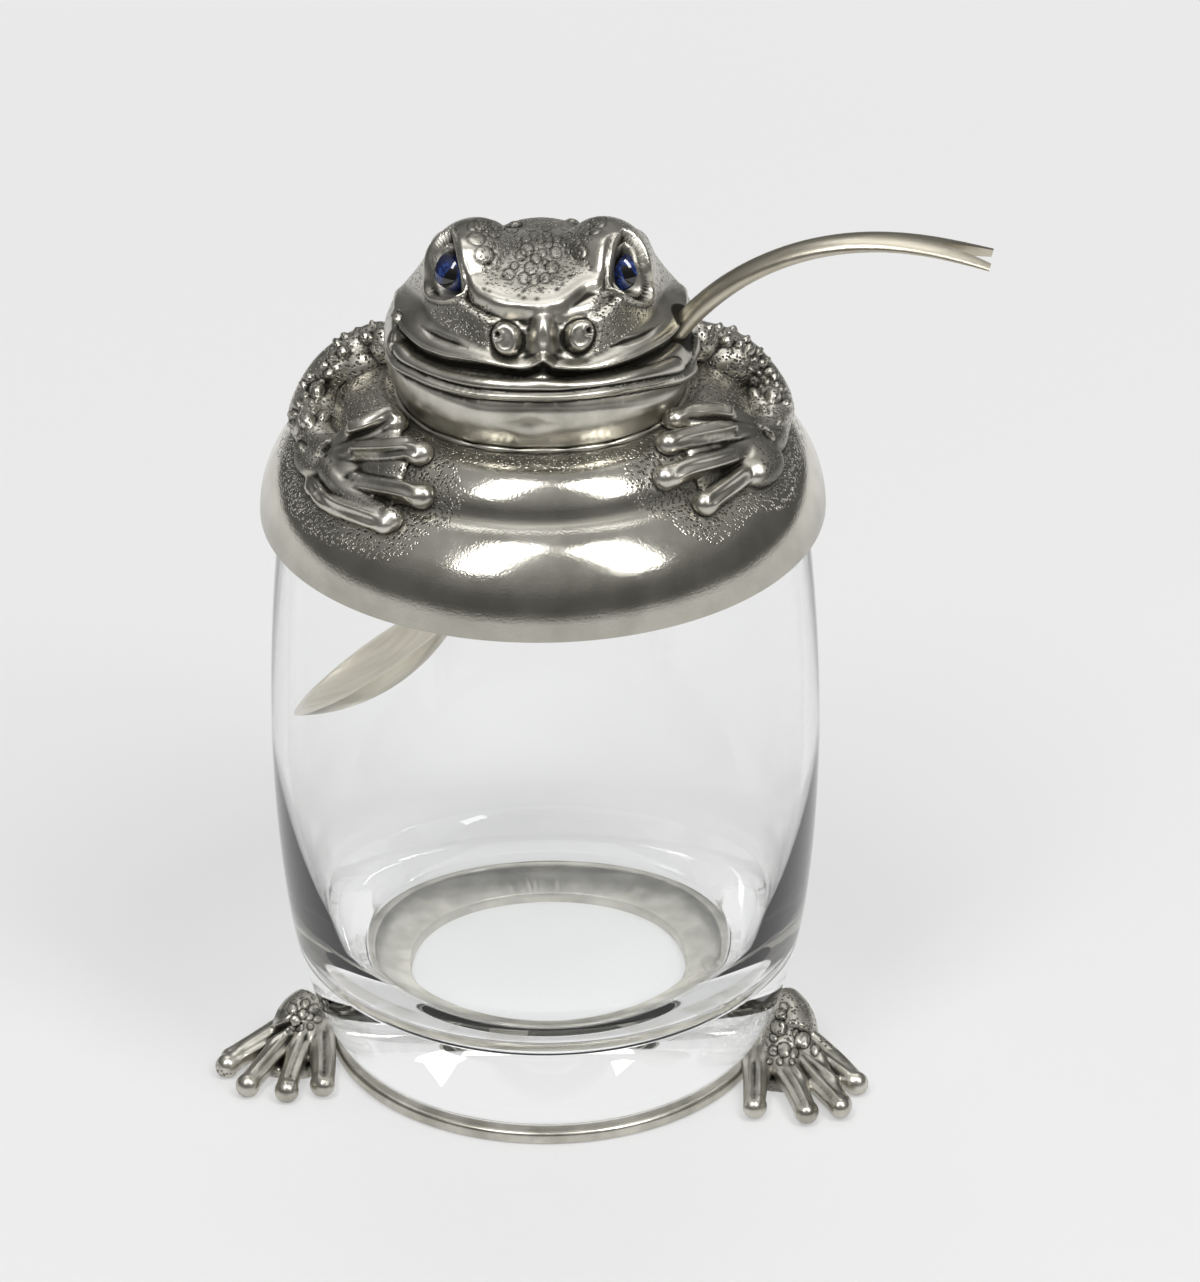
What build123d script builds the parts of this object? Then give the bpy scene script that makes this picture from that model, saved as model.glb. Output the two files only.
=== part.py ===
from build123d import *
import math
import os

# A jam pot in the form of a toad: a clear barrel jar standing in a cast pewter ring with two
# webbed feet, and a lift-off pewter lid that is the toad's body, arms and hollow head. The jam
# spoon's handle is the toad's forked tongue and comes out at the corner of its mouth.
# Millimetres. The origin is the centre of the ring's underside, +Z is up and the toad looks
# along -Y. Left and right are the toad's own, so +X is its left.

# Base ring
ring_outer_radius = 37.9
ring_hole_radius = 25.0
ring_height = 2.4
ring_edge_round = 0.8

# Glass jar, outside: a rounded heel, a barrel side and a drawn-in mouth
glass_foot_radius = 35.4
heel_radius = 38.0
heel_z = 4.9
side_foot_radius = 39.9
side_foot_z = 9.4
flank_radius = 44.53
flank_z = 30.0
belly_radius = 46.25
belly_z = 60.0
mouth_radius = 43.0
glass_top_z = 109.0
rim_round = 1.0

# Glass jar, inside: a heavy base under a bowl-shaped floor
belly_wall = 2.55
mouth_wall = 2.2
floor_z = 17.0
floor_flat_radius = 27.0
bowl_corner = (37.5, 23.0)
bowl_radius = 40.9
bowl_z = 32.0

# Lid dome: a broad shoulder at the rim and a second roll at the neck, both quarter ellipses
lid_overhang = 4.0
lid_radius = mouth_radius + lid_overhang
lid_rim_z = 102.8
shoulder_reach = 15.5
shoulder_centre_radius = lid_radius - shoulder_reach
shoulder_rise = 16.3
neck_inset = 11.0
neck_reach = 10.5
neck_roll_radius = lid_radius - neck_inset
neck_centre_radius = neck_roll_radius - neck_reach
neck_base_z = 117.0
neck_rise = 9.0
dome_wall = 1.8
dome_opening_radius = 20.5

# Locating ring: a flange that lies on the glass and a skirt that drops into its mouth
skirt_clearance = 0.8
skirt_depth = 4.0
skirt_wall = 1.3
flange_thickness = 1.4
flange_gap = 0.05

# Head, a hollow casting that stands on the flat at the top of the dome
head_wall = 2.6
jaw_half_width = 26.0
jaw_front = 26.9
jaw_z = 137.0
seam_half_width = 23.4
seam_front = 24.8
cheek_half_width = 22.6
cheek_front = 23.6
cheek_z = 147.0
crown_half_width = 17.0
crown_front = 18.6
crown_z = 161.0
head_back = 21.5
snout_y = -20.8
snout_z = 149.0
valley_y = -4.0
valley_z = 152.4
crest_y = 8.0
crest_z = 149.8
nape_y = 17.0
nape_z = 144.0
outline_power = 2.25
outline_points = 16

# Brows and the raised shield between them, whose outline is drawn as seen from shield_view
# degrees above the front: across, and up in that view
brow_x = 10.8
brow_y = -2.8
brow_z = 148.3
brow_radius = 7.2
brow_half_length = 9.8
brow_turn = 14.0
shield_view = 29.7
shield_rise = 1.1
shield_depth = 3.0
shield_outline = [(0.0, 118.6), (5.4, 120.0), (9.6, 122.6), (11.0, 127.0), (12.4, 131.6), (9.6, 136.2),
                  (0.0, 135.4), (-9.6, 136.2), (-13.2, 131.6), (-12.4, 127.0), (-10.9, 121.9), (-5.8, 119.4)]

# Eyes, nostrils and lips
eye_x = 14.4
eye_y = -7.2
eye_z = 149.1
eye_turn = 50.0
eye_tilt = 6.0
eye_radius = 3.6
eye_bulge = 2.0
eye_rim_height = 0.9
eye_clearance = 0.15
socket_depth = 14.0
lid_roll_radius = 0.9
lid_roll_lift = 2.7
nostril_x = 6.1
nostril_y = -22.4
nostril_z = 145.8
nostril_radius = 2.7
nostril_hole_radius = 0.55
lip_radius = 1.25
lip_end_x = 24.7
lip_end_y = -5.0
upper_lip_front_y = -26.9
upper_lip_front_z = 141.9
upper_lip_end_z = 138.6
lower_lip_front_y = -27.3
lower_lip_front_z = 136.0
lower_lip_end_z = 135.4

# Spoon. Its handle lies in one upright plane, turned a little forward on the toad's left
spoon_turn = 7.4
handle_angle = 57.0
mouth_x = 21.6
mouth_y = -8.2
mouth_z = 138.0
handle_inside = 57.0
tongue_bend_radius = 42.0
tongue_bend_angle = 59.0
tongue_end_radius = 67.0
tongue_end_angle = 13.0
handle_width = 4.8
fork_length = 8.0
fork_gap = 5.2
# Handle sections from the bowl to the fork: share of the length, half width, half thickness
handle_sections = [(0.0, 2.0, 0.9), (0.045, 2.1, 1.0), (0.09, 2.2, 1.1), (0.2, 2.35, 1.2),
                   (0.36, 2.4, 1.3), (0.5, 2.4, 1.65), (0.57, 2.4, 1.75), (0.64, 2.45, 1.7),
                   (0.71, 2.55, 1.55), (0.78, 2.7, 1.4), (0.85, 2.95, 1.2), (0.92, 3.3, 1.0),
                   (1.0, 3.9, 0.75)]
neck_bend_radius = 16.0
neck_overlap = 5.0
bowl_angle = 37.0
bowl_length = 38.0
bowl_width = 18.0
bowl_depth = 5.4
bowl_wall = 1.1
hole_clearance = 1.3
hole_start = -12.0
hole_length = 40.0

# Arms and fingers, laid on the dome: arm points are (azimuth, distance in from the lid's rim,
# lift over the dome), finger points the first two, with the azimuth in degrees back from the
# arm's own side
arm_radii = [3.6, 4.0, 4.1, 3.9, 3.7, 3.4, 3.3]
left_arm = [(18.0, 19.8, 2.4), (17.0, 15.2, 1.6), (13.5, 11.6, 2.6), (9.0, 9.4, 2.0),
            (1.0, 9.2, 1.3), (-8.0, 9.4, 1.0), (-15.0, 10.1, 0.9)]
right_arm = [(19.0, 20.2, 2.2), (17.0, 15.6, 1.8), (13.0, 11.8, 2.8), (8.5, 9.4, 2.2),
             (-1.0, 9.0, 1.4), (-13.0, 9.4, 1.0), (-21.0, 10.1, 0.9)]
finger_radius = 1.7
finger_tip_radius = 2.15
finger_lift = 0.75
# The palm is the cap of a larger ball that stands proud of the dome
palm_radius = 6.5
palm_lift = -6.9
left_palm = (-22.5, 12.8)
right_palm = (-30.5, 12.8)
head_gap = 0.03
left_fingers = [((-12.0, 11.4), (-26.4, 17.1), (-36.6, 20.1)),
                ((-14.0, 10.4), (-34.2, 15.2), (-47.4, 16.6)),
                ((-15.0, 9.8), (-41.0, 12.2), (-54.6, 12.6)),
                ((-16.0, 8.8), (-37.0, 8.6), (-47.2, 8.1))]
right_fingers = [((-21.0, 11.4), (-27.5, 15.6), (-33.8, 18.6)),
                 ((-23.0, 10.4), (-39.6, 14.2), (-51.4, 15.8)),
                 ((-24.0, 9.8), (-44.0, 11.0), (-57.4, 11.5)),
                 ((-24.0, 8.6), (-43.6, 7.4), (-52.4, 7.1))]

# Hind feet, soldered to the outside of the ring: points are (x, y, z)
toe_radius = 1.8
toe_tip_radius = 2.1
toe_height = 1.8
foot_radii = [3.2, 4.6, 4.4]
left_foot = [(39.6, -2.6, 6.6), (41.2, -7.4, 4.6), (41.6, -11.6, 3.4)]
left_toes = [((38.6, -10.4, 3.9), (36.2, -19.6, 3.1), (34.9, -29.0)),
             ((40.2, -11.0, 3.9), (41.6, -21.0, 3.3), (43.6, -30.8)),
             ((41.8, -10.6, 3.9), (46.0, -19.4, 3.3), (49.3, -28.8)),
             ((42.4, -8.6, 3.9), (47.4, -14.6, 3.1), (52.3, -22.2))]
right_foot = [(-40.4, -2.2, 6.6), (-42.4, -5.6, 4.8), (-43.2, -9.0, 3.5)]
right_toes = [((-40.4, -8.2, 3.7), (-39.2, -14.6, 3.0), (-38.7, -21.2)),
              ((-42.0, -8.6, 3.9), (-43.4, -15.8, 3.2), (-44.6, -23.1)),
              ((-43.6, -8.0, 3.9), (-47.6, -14.4, 3.2), (-51.3, -21.3)),
              ((-44.2, -6.4, 3.9), (-49.6, -10.6, 3.0), (-55.0, -15.2))]
web_thickness = 1.8
web_reach = 0.6
foot_clearance = 0.2


def barrel_line(belly, mouth, lower_points):
    """Half outline of a barrel: an arc up to the mouth, then tangent arcs down from the belly."""
    line = [TangentArc((belly, belly_z), (mouth, glass_top_z - rim_round), tangent=(0, 1))]
    place = (belly, belly_z)
    way = (0, -1)
    for point in lower_points:
        arc = TangentArc(place, point, tangent=way)
        line.append(arc)
        place = point
        way = arc % 1
    return line


def outer_glass_line(grow):
    """The jar's outer side, moved outwards by grow."""
    return barrel_line(belly_radius + grow, mouth_radius + grow, [
        (flank_radius + grow, flank_z),
        (side_foot_radius + grow, side_foot_z),
        (heel_radius + grow, heel_z),
        (glass_foot_radius + grow, ring_height),
    ])


def glass_body(grow):
    """The space that the glass takes up below its rim, moved outwards by grow."""
    side = outer_glass_line(grow)
    top = side[0] @ 1
    foot = side[-1] @ 1
    rest = Polyline(top, (0, top.Y), (0, foot.Y), foot)
    return revolve(Plane.XZ * make_face(side + [rest]), Axis.Z)


def rim_corner(top, inwards):
    """Quarter round from the top of one side of the glass on to its flat rim."""
    slant = rim_round * math.sqrt(0.5)
    middle = (top.X + inwards * (rim_round - slant), top.Y + slant)
    return ThreePointArc(top, middle, (top.X + inwards * rim_round, glass_top_z))


def make_glass_jar():
    """Heavy base, barrel side, rounded rim and a bowl-shaped inside, spun from one profile."""
    outside = outer_glass_line(0)
    inside = barrel_line(belly_radius - belly_wall, mouth_radius - mouth_wall, [
        (bowl_radius, bowl_z),
        bowl_corner,
        (floor_flat_radius, floor_z),
    ])
    outer_corner = rim_corner(outside[0] @ 1, -1)
    inner_corner = rim_corner(inside[0] @ 1, 1)
    foot = outside[-1] @ 1
    floor = inside[-1] @ 1
    rest = [
        outer_corner,
        Line(outer_corner @ 1, inner_corner @ 1),
        inner_corner,
        Polyline(foot, (0, foot.Y), (0, floor.Y), floor),
    ]
    return revolve(Plane.XZ * make_face(outside + inside + rest), Axis.Z)


def make_base_ring():
    ring = Cylinder(ring_outer_radius, ring_height, align=(Align.CENTER, Align.CENTER, Align.MIN))
    ring -= Cylinder(ring_hole_radius, ring_height, align=(Align.CENTER, Align.CENTER, Align.MIN))
    outer = ring.edges().filter_by(GeomType.CIRCLE).group_by(SortBy.RADIUS)[-1]
    return fillet(outer, ring_edge_round)


def dome_section(inset):
    """Half section of the dome's outer form, drawn in by inset, from the axis outwards."""
    shoulder = Pos(shoulder_centre_radius, lid_rim_z) * Ellipse(
        shoulder_reach - inset, shoulder_rise - inset
    )
    core_height = shoulder_rise - inset
    core = Pos(0, lid_rim_z) * Rectangle(
        shoulder_centre_radius, core_height, align=(Align.MIN, Align.MIN)
    )
    neck = Pos(neck_centre_radius, neck_base_z) * Ellipse(
        neck_reach - inset, neck_rise - inset
    )
    neck_core = Pos(0, lid_rim_z) * Rectangle(
        neck_centre_radius, neck_base_z + neck_rise - inset - lid_rim_z,
        align=(Align.MIN, Align.MIN),
    )
    above_rim = Pos(0, lid_rim_z) * Rectangle(
        lid_radius, 2 * shoulder_rise, align=(Align.MIN, Align.MIN)
    )
    return (shoulder + core + neck + neck_core) & above_rim


def dome_height(radius):
    """Height of the dome's outside over the table, at a distance from the axis."""
    share = max(0.0, radius - shoulder_centre_radius) / shoulder_reach
    height = lid_rim_z + shoulder_rise * math.sqrt(max(0.0, 1 - share ** 2))
    if radius < neck_roll_radius:
        share = max(0.0, radius - neck_centre_radius) / neck_reach
        height = max(height, neck_base_z + neck_rise * math.sqrt(1 - share ** 2))
    return height


def make_lid_dome():
    opening = Pos(0, lid_rim_z) * Rectangle(
        dome_opening_radius, 2 * shoulder_rise, align=(Align.MIN, Align.MIN)
    )
    shell = dome_section(0) - dome_section(dome_wall) - opening
    return revolve(Plane.XZ * shell, Axis.Z)


def dome_solid(inset):
    return revolve(Plane.XZ * dome_section(inset), Axis.Z)


def make_locating_ring():
    """Flange on the glass rim and skirt inside the mouth, soldered into the dome."""
    skirt_radius = mouth_radius - mouth_wall - skirt_clearance
    inside = skirt_radius - skirt_wall
    flange = Cylinder(
        lid_radius, flange_thickness, align=(Align.CENTER, Align.CENTER, Align.MIN)
    )
    skirt = Cylinder(skirt_radius, skirt_depth, align=(Align.CENTER, Align.CENTER, Align.MAX))
    bore = Cylinder(inside, 4 * skirt_depth)
    ring = Pos(0, 0, glass_top_z) * (flange + skirt - bore)
    return ring & dome_solid(dome_wall + flange_gap)


def head_outline(z, half_width, front, back):
    """A closed plan outline of the head at one height, round in front and at the back."""
    points = []
    for step in range(outline_points):
        angle = 2 * math.pi * step / outline_points
        across = math.cos(angle)
        along = math.sin(angle)
        size = (abs(across) ** outline_power + abs(along) ** outline_power) ** (1 / outline_power)
        reach = front if along < 0 else back
        points.append((half_width * across / size, reach * along / size, z))
    return make_face(Spline(points, periodic=True))


def head_form(inset, foot_z):
    """The head without brows and lips: a loft of plan outlines under a sloping forehead."""
    seam_z = neck_base_z + neck_rise
    rows = [
        (foot_z, seam_half_width, seam_front, head_back),
        ((seam_z + jaw_z) / 2, (seam_half_width + jaw_half_width) / 2 + 0.5,
         (seam_front + jaw_front) / 2 + 0.4, head_back + 0.6),
        (jaw_z, jaw_half_width, jaw_front, head_back),
        (cheek_z, cheek_half_width, cheek_front, head_back - 2.5),
        (crown_z, crown_half_width, crown_front, head_back - 6.0),
    ]
    sides = loft([
        head_outline(z, half_width - inset, front - inset, back - inset)
        for z, half_width, front, back in rows
    ])
    brow_line = Spline([
        (-jaw_front - 4, snout_z - 5.4 - inset),
        (snout_y, snout_z - inset),
        (valley_y, valley_z - inset),
        (crest_y, crest_z - inset),
        (nape_y - inset, nape_z - inset),
        (head_back + 1.0 - inset, seam_z + 4.0),
    ])
    under = Polyline(
        brow_line @ 1,
        (head_back + 1.0, foot_z - 2),
        (-jaw_front - 4, foot_z - 2),
        brow_line @ 0,
    )
    profile = make_face([brow_line, under])
    return sides & extrude(Plane.YZ * profile, amount=lid_radius, both=True)


def brow(side):
    """One brow: a bar with round ends along the head, turned a little outwards."""
    half_bar = brow_half_length - brow_radius
    form = Rot(90, 0, 0) * Cylinder(brow_radius, 2 * half_bar)
    for end in (-1, 1):
        form = form + Pos(0, end * half_bar, 0) * Sphere(brow_radius)
    return Pos(side * brow_x, brow_y, brow_z) * Rot(0, 0, side * brow_turn) * form


def make_shield():
    """The raised plate on the forehead, between the brows."""
    rise = math.radians(shield_view)
    seen_from = Plane(origin=(0, 0, 0), x_dir=(1, 0, 0), z_dir=(0, -math.cos(rise), math.sin(rise)))
    outline = make_face(Spline(shield_outline, periodic=True))
    prism = extrude(seen_from * outline, amount=2 * crown_z, dir=seen_from.z_dir)
    top = Spline([
        (-jaw_front, snout_z - 3.4 + shield_rise),
        (snout_y, snout_z + shield_rise),
        (valley_y, valley_z + shield_rise),
        (crest_y, crest_z),
    ])
    under = Polyline(top @ 1, (crest_y, crest_z - shield_depth), (-jaw_front, snout_z - 8.0), top @ 0)
    forehead = extrude(Plane.YZ * make_face([top, under]), amount=brow_x + 4, both=True)
    return forehead & prism


def eye_plane(side):
    """Plane at the seat of an eye, its z axis pointing out of the socket."""
    turn = math.radians(eye_turn)
    tilt = math.radians(eye_tilt)
    outward = (
        side * math.sin(turn) * math.cos(tilt),
        -math.cos(turn) * math.cos(tilt),
        math.sin(tilt),
    )
    return Plane(origin=(side * eye_x, eye_y, eye_z), z_dir=outward)


def make_eye(side):
    """A glass cabochon with a flat back and a low domed front."""
    cap_radius = (eye_radius ** 2 + eye_bulge ** 2) / (2 * eye_bulge)
    base = Cylinder(eye_radius, eye_rim_height, align=(Align.CENTER, Align.CENTER, Align.MIN))
    ball = Pos(0, 0, eye_rim_height + eye_bulge - cap_radius) * Sphere(cap_radius)
    above = Pos(0, 0, eye_rim_height) * Cylinder(
        cap_radius, cap_radius, align=(Align.CENTER, Align.CENTER, Align.MIN)
    )
    return eye_plane(side) * (base + (ball & above))


def lip(end_z, front_y, front_z):
    """One rolled lip, from corner to corner of the mouth."""
    path = ThreePointArc(
        (-lip_end_x, lip_end_y, end_z), (0, front_y, front_z), (lip_end_x, lip_end_y, end_z)
    )
    start = Plane(origin=path @ 0, z_dir=path % 0)
    return sweep(start * Circle(lip_radius), path)


def handle_direction():
    turn = math.radians(spoon_turn)
    rise = math.radians(handle_angle)
    return Vector(
        math.cos(rise) * math.cos(turn), -math.cos(rise) * math.sin(turn), math.sin(rise)
    )


def spoon_hole():
    """The clear way for the handle, along its straight part."""
    radius = handle_width / 2 + hole_clearance
    along = Plane(origin=(mouth_x, mouth_y, mouth_z), z_dir=handle_direction())
    return along * Pos(0, 0, hole_start) * Cylinder(
        radius, hole_length, align=(Align.CENTER, Align.CENTER, Align.MIN)
    )


def make_head():
    seam_z = neck_base_z + neck_rise
    head = head_form(0, seam_z)
    for side in (-1, 1):
        head = head + brow(side)
    head = head + make_shield()
    for side in (-1, 1):
        eyelid = Pos(0, 0, lid_roll_lift) * Torus(eye_radius + lid_roll_radius, lid_roll_radius)
        nostril = Pos(side * nostril_x, nostril_y, nostril_z) * Sphere(nostril_radius)
        head = head + nostril + eye_plane(side) * eyelid
    head = head + lip(upper_lip_end_z, upper_lip_front_y, upper_lip_front_z)
    head = head + lip(lower_lip_end_z, lower_lip_front_y, lower_lip_front_z)
    for side in (-1, 1):
        socket = Cylinder(
            eye_radius + eye_clearance, socket_depth, align=(Align.CENTER, Align.CENTER, Align.MIN)
        )
        nostril_hole = Plane(
            origin=(side * nostril_x, nostril_y, nostril_z), z_dir=(side * 0.3, -1, 0.2)
        ) * Pos(0, 0, nostril_radius) * Cylinder(nostril_hole_radius, 2)
        head = head - eye_plane(side) * socket - nostril_hole
    hollow = head_form(head_wall, seam_z - head_wall)
    return head - hollow - spoon_hole()


def limb(points, radii):
    """A tapering limb through the points, round in section."""
    path = Spline(points)
    sections = []
    count = len(radii)
    for index, radius in enumerate(radii):
        share = index / (count - 1)
        along = path % share
        across = Vector(0, 0, 1).cross(along)
        plane = Plane(origin=path @ share, x_dir=across, z_dir=along)
        sections.append(plane * Circle(radius))
    return loft(sections)


def on_dome(azimuth, from_rim, lift):
    angle = math.radians(azimuth)
    radius = lid_radius - from_rim
    return (radius * math.cos(angle), radius * math.sin(angle), dome_height(radius) + lift)


def make_foreleg(arm, palm, fingers):
    """Arm and hand in one casting, fitted to the outside of the dome."""
    points = [on_dome(*place) for place in arm]
    leg = limb(points, arm_radii) + Pos(points[0]) * Sphere(arm_radii[0] * 1.02)
    leg = leg + Pos(on_dome(palm[0], palm[1], palm_lift)) * Sphere(palm_radius)
    for root, middle, tip in fingers:
        path = [
            on_dome(root[0], root[1], finger_lift * 1.4),
            on_dome(middle[0], middle[1], finger_lift),
            on_dome(tip[0], tip[1], finger_lift),
        ]
        leg = leg + limb(path, [finger_radius * 1.1, finger_radius, finger_radius])
        leg = leg + Pos(path[-1]) * Sphere(finger_tip_radius)
    return leg - dome_solid(0) - head_form(-head_gap, neck_base_z + neck_rise)


def make_hind_foot(foot, toes):
    """Webbed foot in one casting, flat underneath, against the ring's outer edge."""
    leg = limb(foot, foot_radii)
    outline = []
    for root, middle, tip in toes:
        path = [root, middle, (tip[0], tip[1], toe_height)]
        leg = leg + limb(path, [toe_radius * 1.15, toe_radius, toe_radius])
        leg = leg + Pos(path[-1]) * Sphere(toe_tip_radius)
        outline.append(tuple(
            start + (end - start) * web_reach for start, end in zip(root[:2], tip)
        ))
    heel = foot[0][:2]
    web = make_face(Polyline([heel] + outline, close=True))
    leg = leg + extrude(web, amount=web_thickness)
    above_table = Box(
        4 * lid_radius, 4 * lid_radius, lid_radius,
        align=(Align.CENTER, Align.CENTER, Align.MIN),
    )
    ring = Cylinder(ring_outer_radius, 4 * ring_height)
    return (leg & above_table) - ring - glass_body(foot_clearance)


def spoon_plane():
    """Upright plane of the spoon: x runs out along the tongue and y is up."""
    turn = math.radians(spoon_turn)
    outward = (math.cos(turn), -math.sin(turn), 0)
    return Plane(origin=(mouth_x, mouth_y, mouth_z), x_dir=outward, z_dir=(
        math.sin(turn) * -1, -math.cos(turn), 0
    ))


def spoon_line():
    """Centre line of the handle in the spoon's own plane, from the bowl to the fork."""
    rise = math.radians(handle_angle)
    dip = math.radians(bowl_angle)
    neck = Vector(-handle_inside * math.cos(rise), -handle_inside * math.sin(rise))
    turn_in = neck_bend_radius * Vector(
        math.sin(rise) - math.sin(dip), math.cos(dip) - math.cos(rise)
    )
    along_bowl = Vector(math.cos(dip), math.sin(dip))
    root = Line(neck - turn_in - neck_overlap * along_bowl, neck - turn_in)
    neck_bend = JernArc(root @ 1, along_bowl, neck_bend_radius, handle_angle - bowl_angle)
    straight = Line(neck_bend @ 1, (0, 0))
    bend = JernArc(
        (0, 0), (math.cos(rise), math.sin(rise)), tongue_bend_radius, -tongue_bend_angle
    )
    end = JernArc(bend @ 1, bend % 1, tongue_end_radius, -tongue_end_angle)
    return root, neck_bend, straight, bend, end


def make_handle(line):
    """A round rod near the mouth that flattens to the forked tongue."""
    path = Wire(line)
    sections = []
    for share, half_width, half_thickness in handle_sections:
        plane = Plane(origin=path @ share, z_dir=path % share, x_dir=(0, 0, 1))
        sections.append(plane * Ellipse(half_width, half_thickness))
    tip = line[-1] @ 1
    fork = make_face(Polyline(
        (tip.X - fork_length, 0), (tip.X + 1, fork_gap / 2), (tip.X + 1, -fork_gap / 2), close=True
    ))
    return loft(sections) - extrude(Plane.XZ * fork, amount=2 * lid_radius, both=True)


def bowl_spindle(inset):
    """Body of revolution whose lower cap is the bowl, drawn in by inset."""
    rim_half = bowl_length / 2
    side_radius = (rim_half ** 2 + bowl_depth ** 2) / (2 * bowl_depth)
    section_radius = ((bowl_width / 2) ** 2 + bowl_depth ** 2) / (2 * bowl_depth)
    reach = math.sqrt((side_radius - inset) ** 2 - (side_radius - section_radius) ** 2)
    arc = ThreePointArc((-reach, 0), (0, section_radius - inset), (reach, 0))
    return revolve(make_face([arc, Line(arc @ 1, arc @ 0)]), Axis.X), section_radius


def make_bowl():
    """A pointed oval bowl: part of a hollow spindle, cut off at the rim's plane."""
    solid, section_radius = bowl_spindle(0)
    hollow, _ = bowl_spindle(bowl_wall)
    below = Box(
        3 * bowl_length, 3 * bowl_length, 3 * bowl_length,
        align=(Align.CENTER, Align.MAX, Align.CENTER),
    )
    return (Pos(0, section_radius - bowl_depth, 0) * (solid - hollow)) & below


def make_spoon():
    line = spoon_line()
    handle = make_handle(line)
    slope = math.radians(bowl_angle)
    root = line[0] @ 1
    half_length = bowl_length / 2
    centre = (root.X - half_length * math.cos(slope), root.Y - half_length * math.sin(slope))
    bowl = Pos(centre[0], centre[1], 0) * Rot(0, 0, bowl_angle) * make_bowl()
    return spoon_plane() * (handle + bowl)


parts = {
    "glass_jar": make_glass_jar(),
    "base_ring": make_base_ring(),
    "hind_foot_left": make_hind_foot(left_foot, left_toes),
    "hind_foot_right": make_hind_foot(right_foot, right_toes),
    "lid_dome": make_lid_dome(),
    "lid_locating_ring": make_locating_ring(),
    "toad_head": make_head(),
    "eye_left": make_eye(1),
    "eye_right": make_eye(-1),
    "foreleg_left": make_foreleg(left_arm, left_palm, left_fingers),
    "foreleg_right": mirror(
        make_foreleg(right_arm, right_palm, right_fingers), about=Plane.YZ
    ),
    "spoon": make_spoon(),
}

os.makedirs("parts", exist_ok=True)
for name, part in parts.items():
    export_step(part, f"parts/{name}.step")
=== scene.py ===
import math
import bpy
import numpy as np
from mathutils import Matrix, Vector, kdtree


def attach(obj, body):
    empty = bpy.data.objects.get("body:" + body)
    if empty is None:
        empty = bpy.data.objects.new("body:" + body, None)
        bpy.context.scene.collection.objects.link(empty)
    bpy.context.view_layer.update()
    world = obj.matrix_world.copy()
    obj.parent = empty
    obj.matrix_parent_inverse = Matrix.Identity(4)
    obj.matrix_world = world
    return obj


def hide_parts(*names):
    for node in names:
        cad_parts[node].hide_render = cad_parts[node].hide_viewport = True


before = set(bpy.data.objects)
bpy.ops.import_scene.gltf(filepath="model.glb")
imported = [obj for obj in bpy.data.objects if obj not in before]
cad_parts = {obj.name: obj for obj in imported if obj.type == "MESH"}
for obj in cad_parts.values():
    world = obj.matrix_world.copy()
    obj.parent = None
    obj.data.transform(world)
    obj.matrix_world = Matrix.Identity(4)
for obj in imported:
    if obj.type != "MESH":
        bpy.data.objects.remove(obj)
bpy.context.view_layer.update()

# Dictionaries are in millimetres and degrees, meshes in metres.
# +Z is up and the toad looks along -Y.
mm = 0.001
weldGap = 0.002 * mm
scene = bpy.context.scene
scene.view_settings.view_transform = "Standard"
print("frame loaded:", ", ".join(sorted(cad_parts)))


def deselect():
    if bpy.context.mode != "OBJECT":
        bpy.ops.object.mode_set(mode="OBJECT")
    bpy.ops.object.select_all(action="DESELECT")


def makeActive(piece):
    deselect()
    piece.select_set(True)
    bpy.context.view_layer.objects.active = piece


def applyModifiers(piece):
    makeActive(piece)
    for modifier in list(piece.modifiers):
        bpy.ops.object.modifier_apply(modifier=modifier.name)


def dress(piece, material, body):
    piece.data.materials.clear()
    piece.data.materials.append(material)
    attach(piece, body)


def arcPoints(centre, reach, rise, start, end, count):
    # points on an ellipse about centre, angles in degrees from the +radius side
    points = []
    for step in range(count + 1):
        angle = math.radians(start + (end - start) * step / count)
        points.append((centre[0] + reach * math.cos(angle), centre[1] + rise * math.sin(angle)))
    return points


def tangentArc(start, end, way, count):
    # points after start on the arc that leaves start along way and meets end, and its last direction
    across, along = end[0] - start[0], end[1] - start[1]
    normal = (-way[1], way[0])
    side = across * normal[0] + along * normal[1]
    forward = across * way[0] + along * way[1]
    radius = (across ** 2 + along ** 2) / (2 * side)
    centre = (start[0] + normal[0] * radius, start[1] + normal[1] * radius)
    turn = 2 * math.atan2(side, forward)
    points = []
    for step in range(1, count + 1):
        c, s = math.cos(turn * step / count), math.sin(turn * step / count)
        dx, dz = start[0] - centre[0], start[1] - centre[1]
        points.append((centre[0] + dx * c - dz * s, centre[1] + dx * s + dz * c))
    c, s = math.cos(turn), math.sin(turn)
    return points, (way[0] * c - way[1] * s, way[0] * s + way[1] * c)


def arcChain(start, way, stops, count):
    points = [start]
    for stop in stops:
        more, way = tangentArc(points[-1], stop, way, count)
        points += more
    return points


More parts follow.
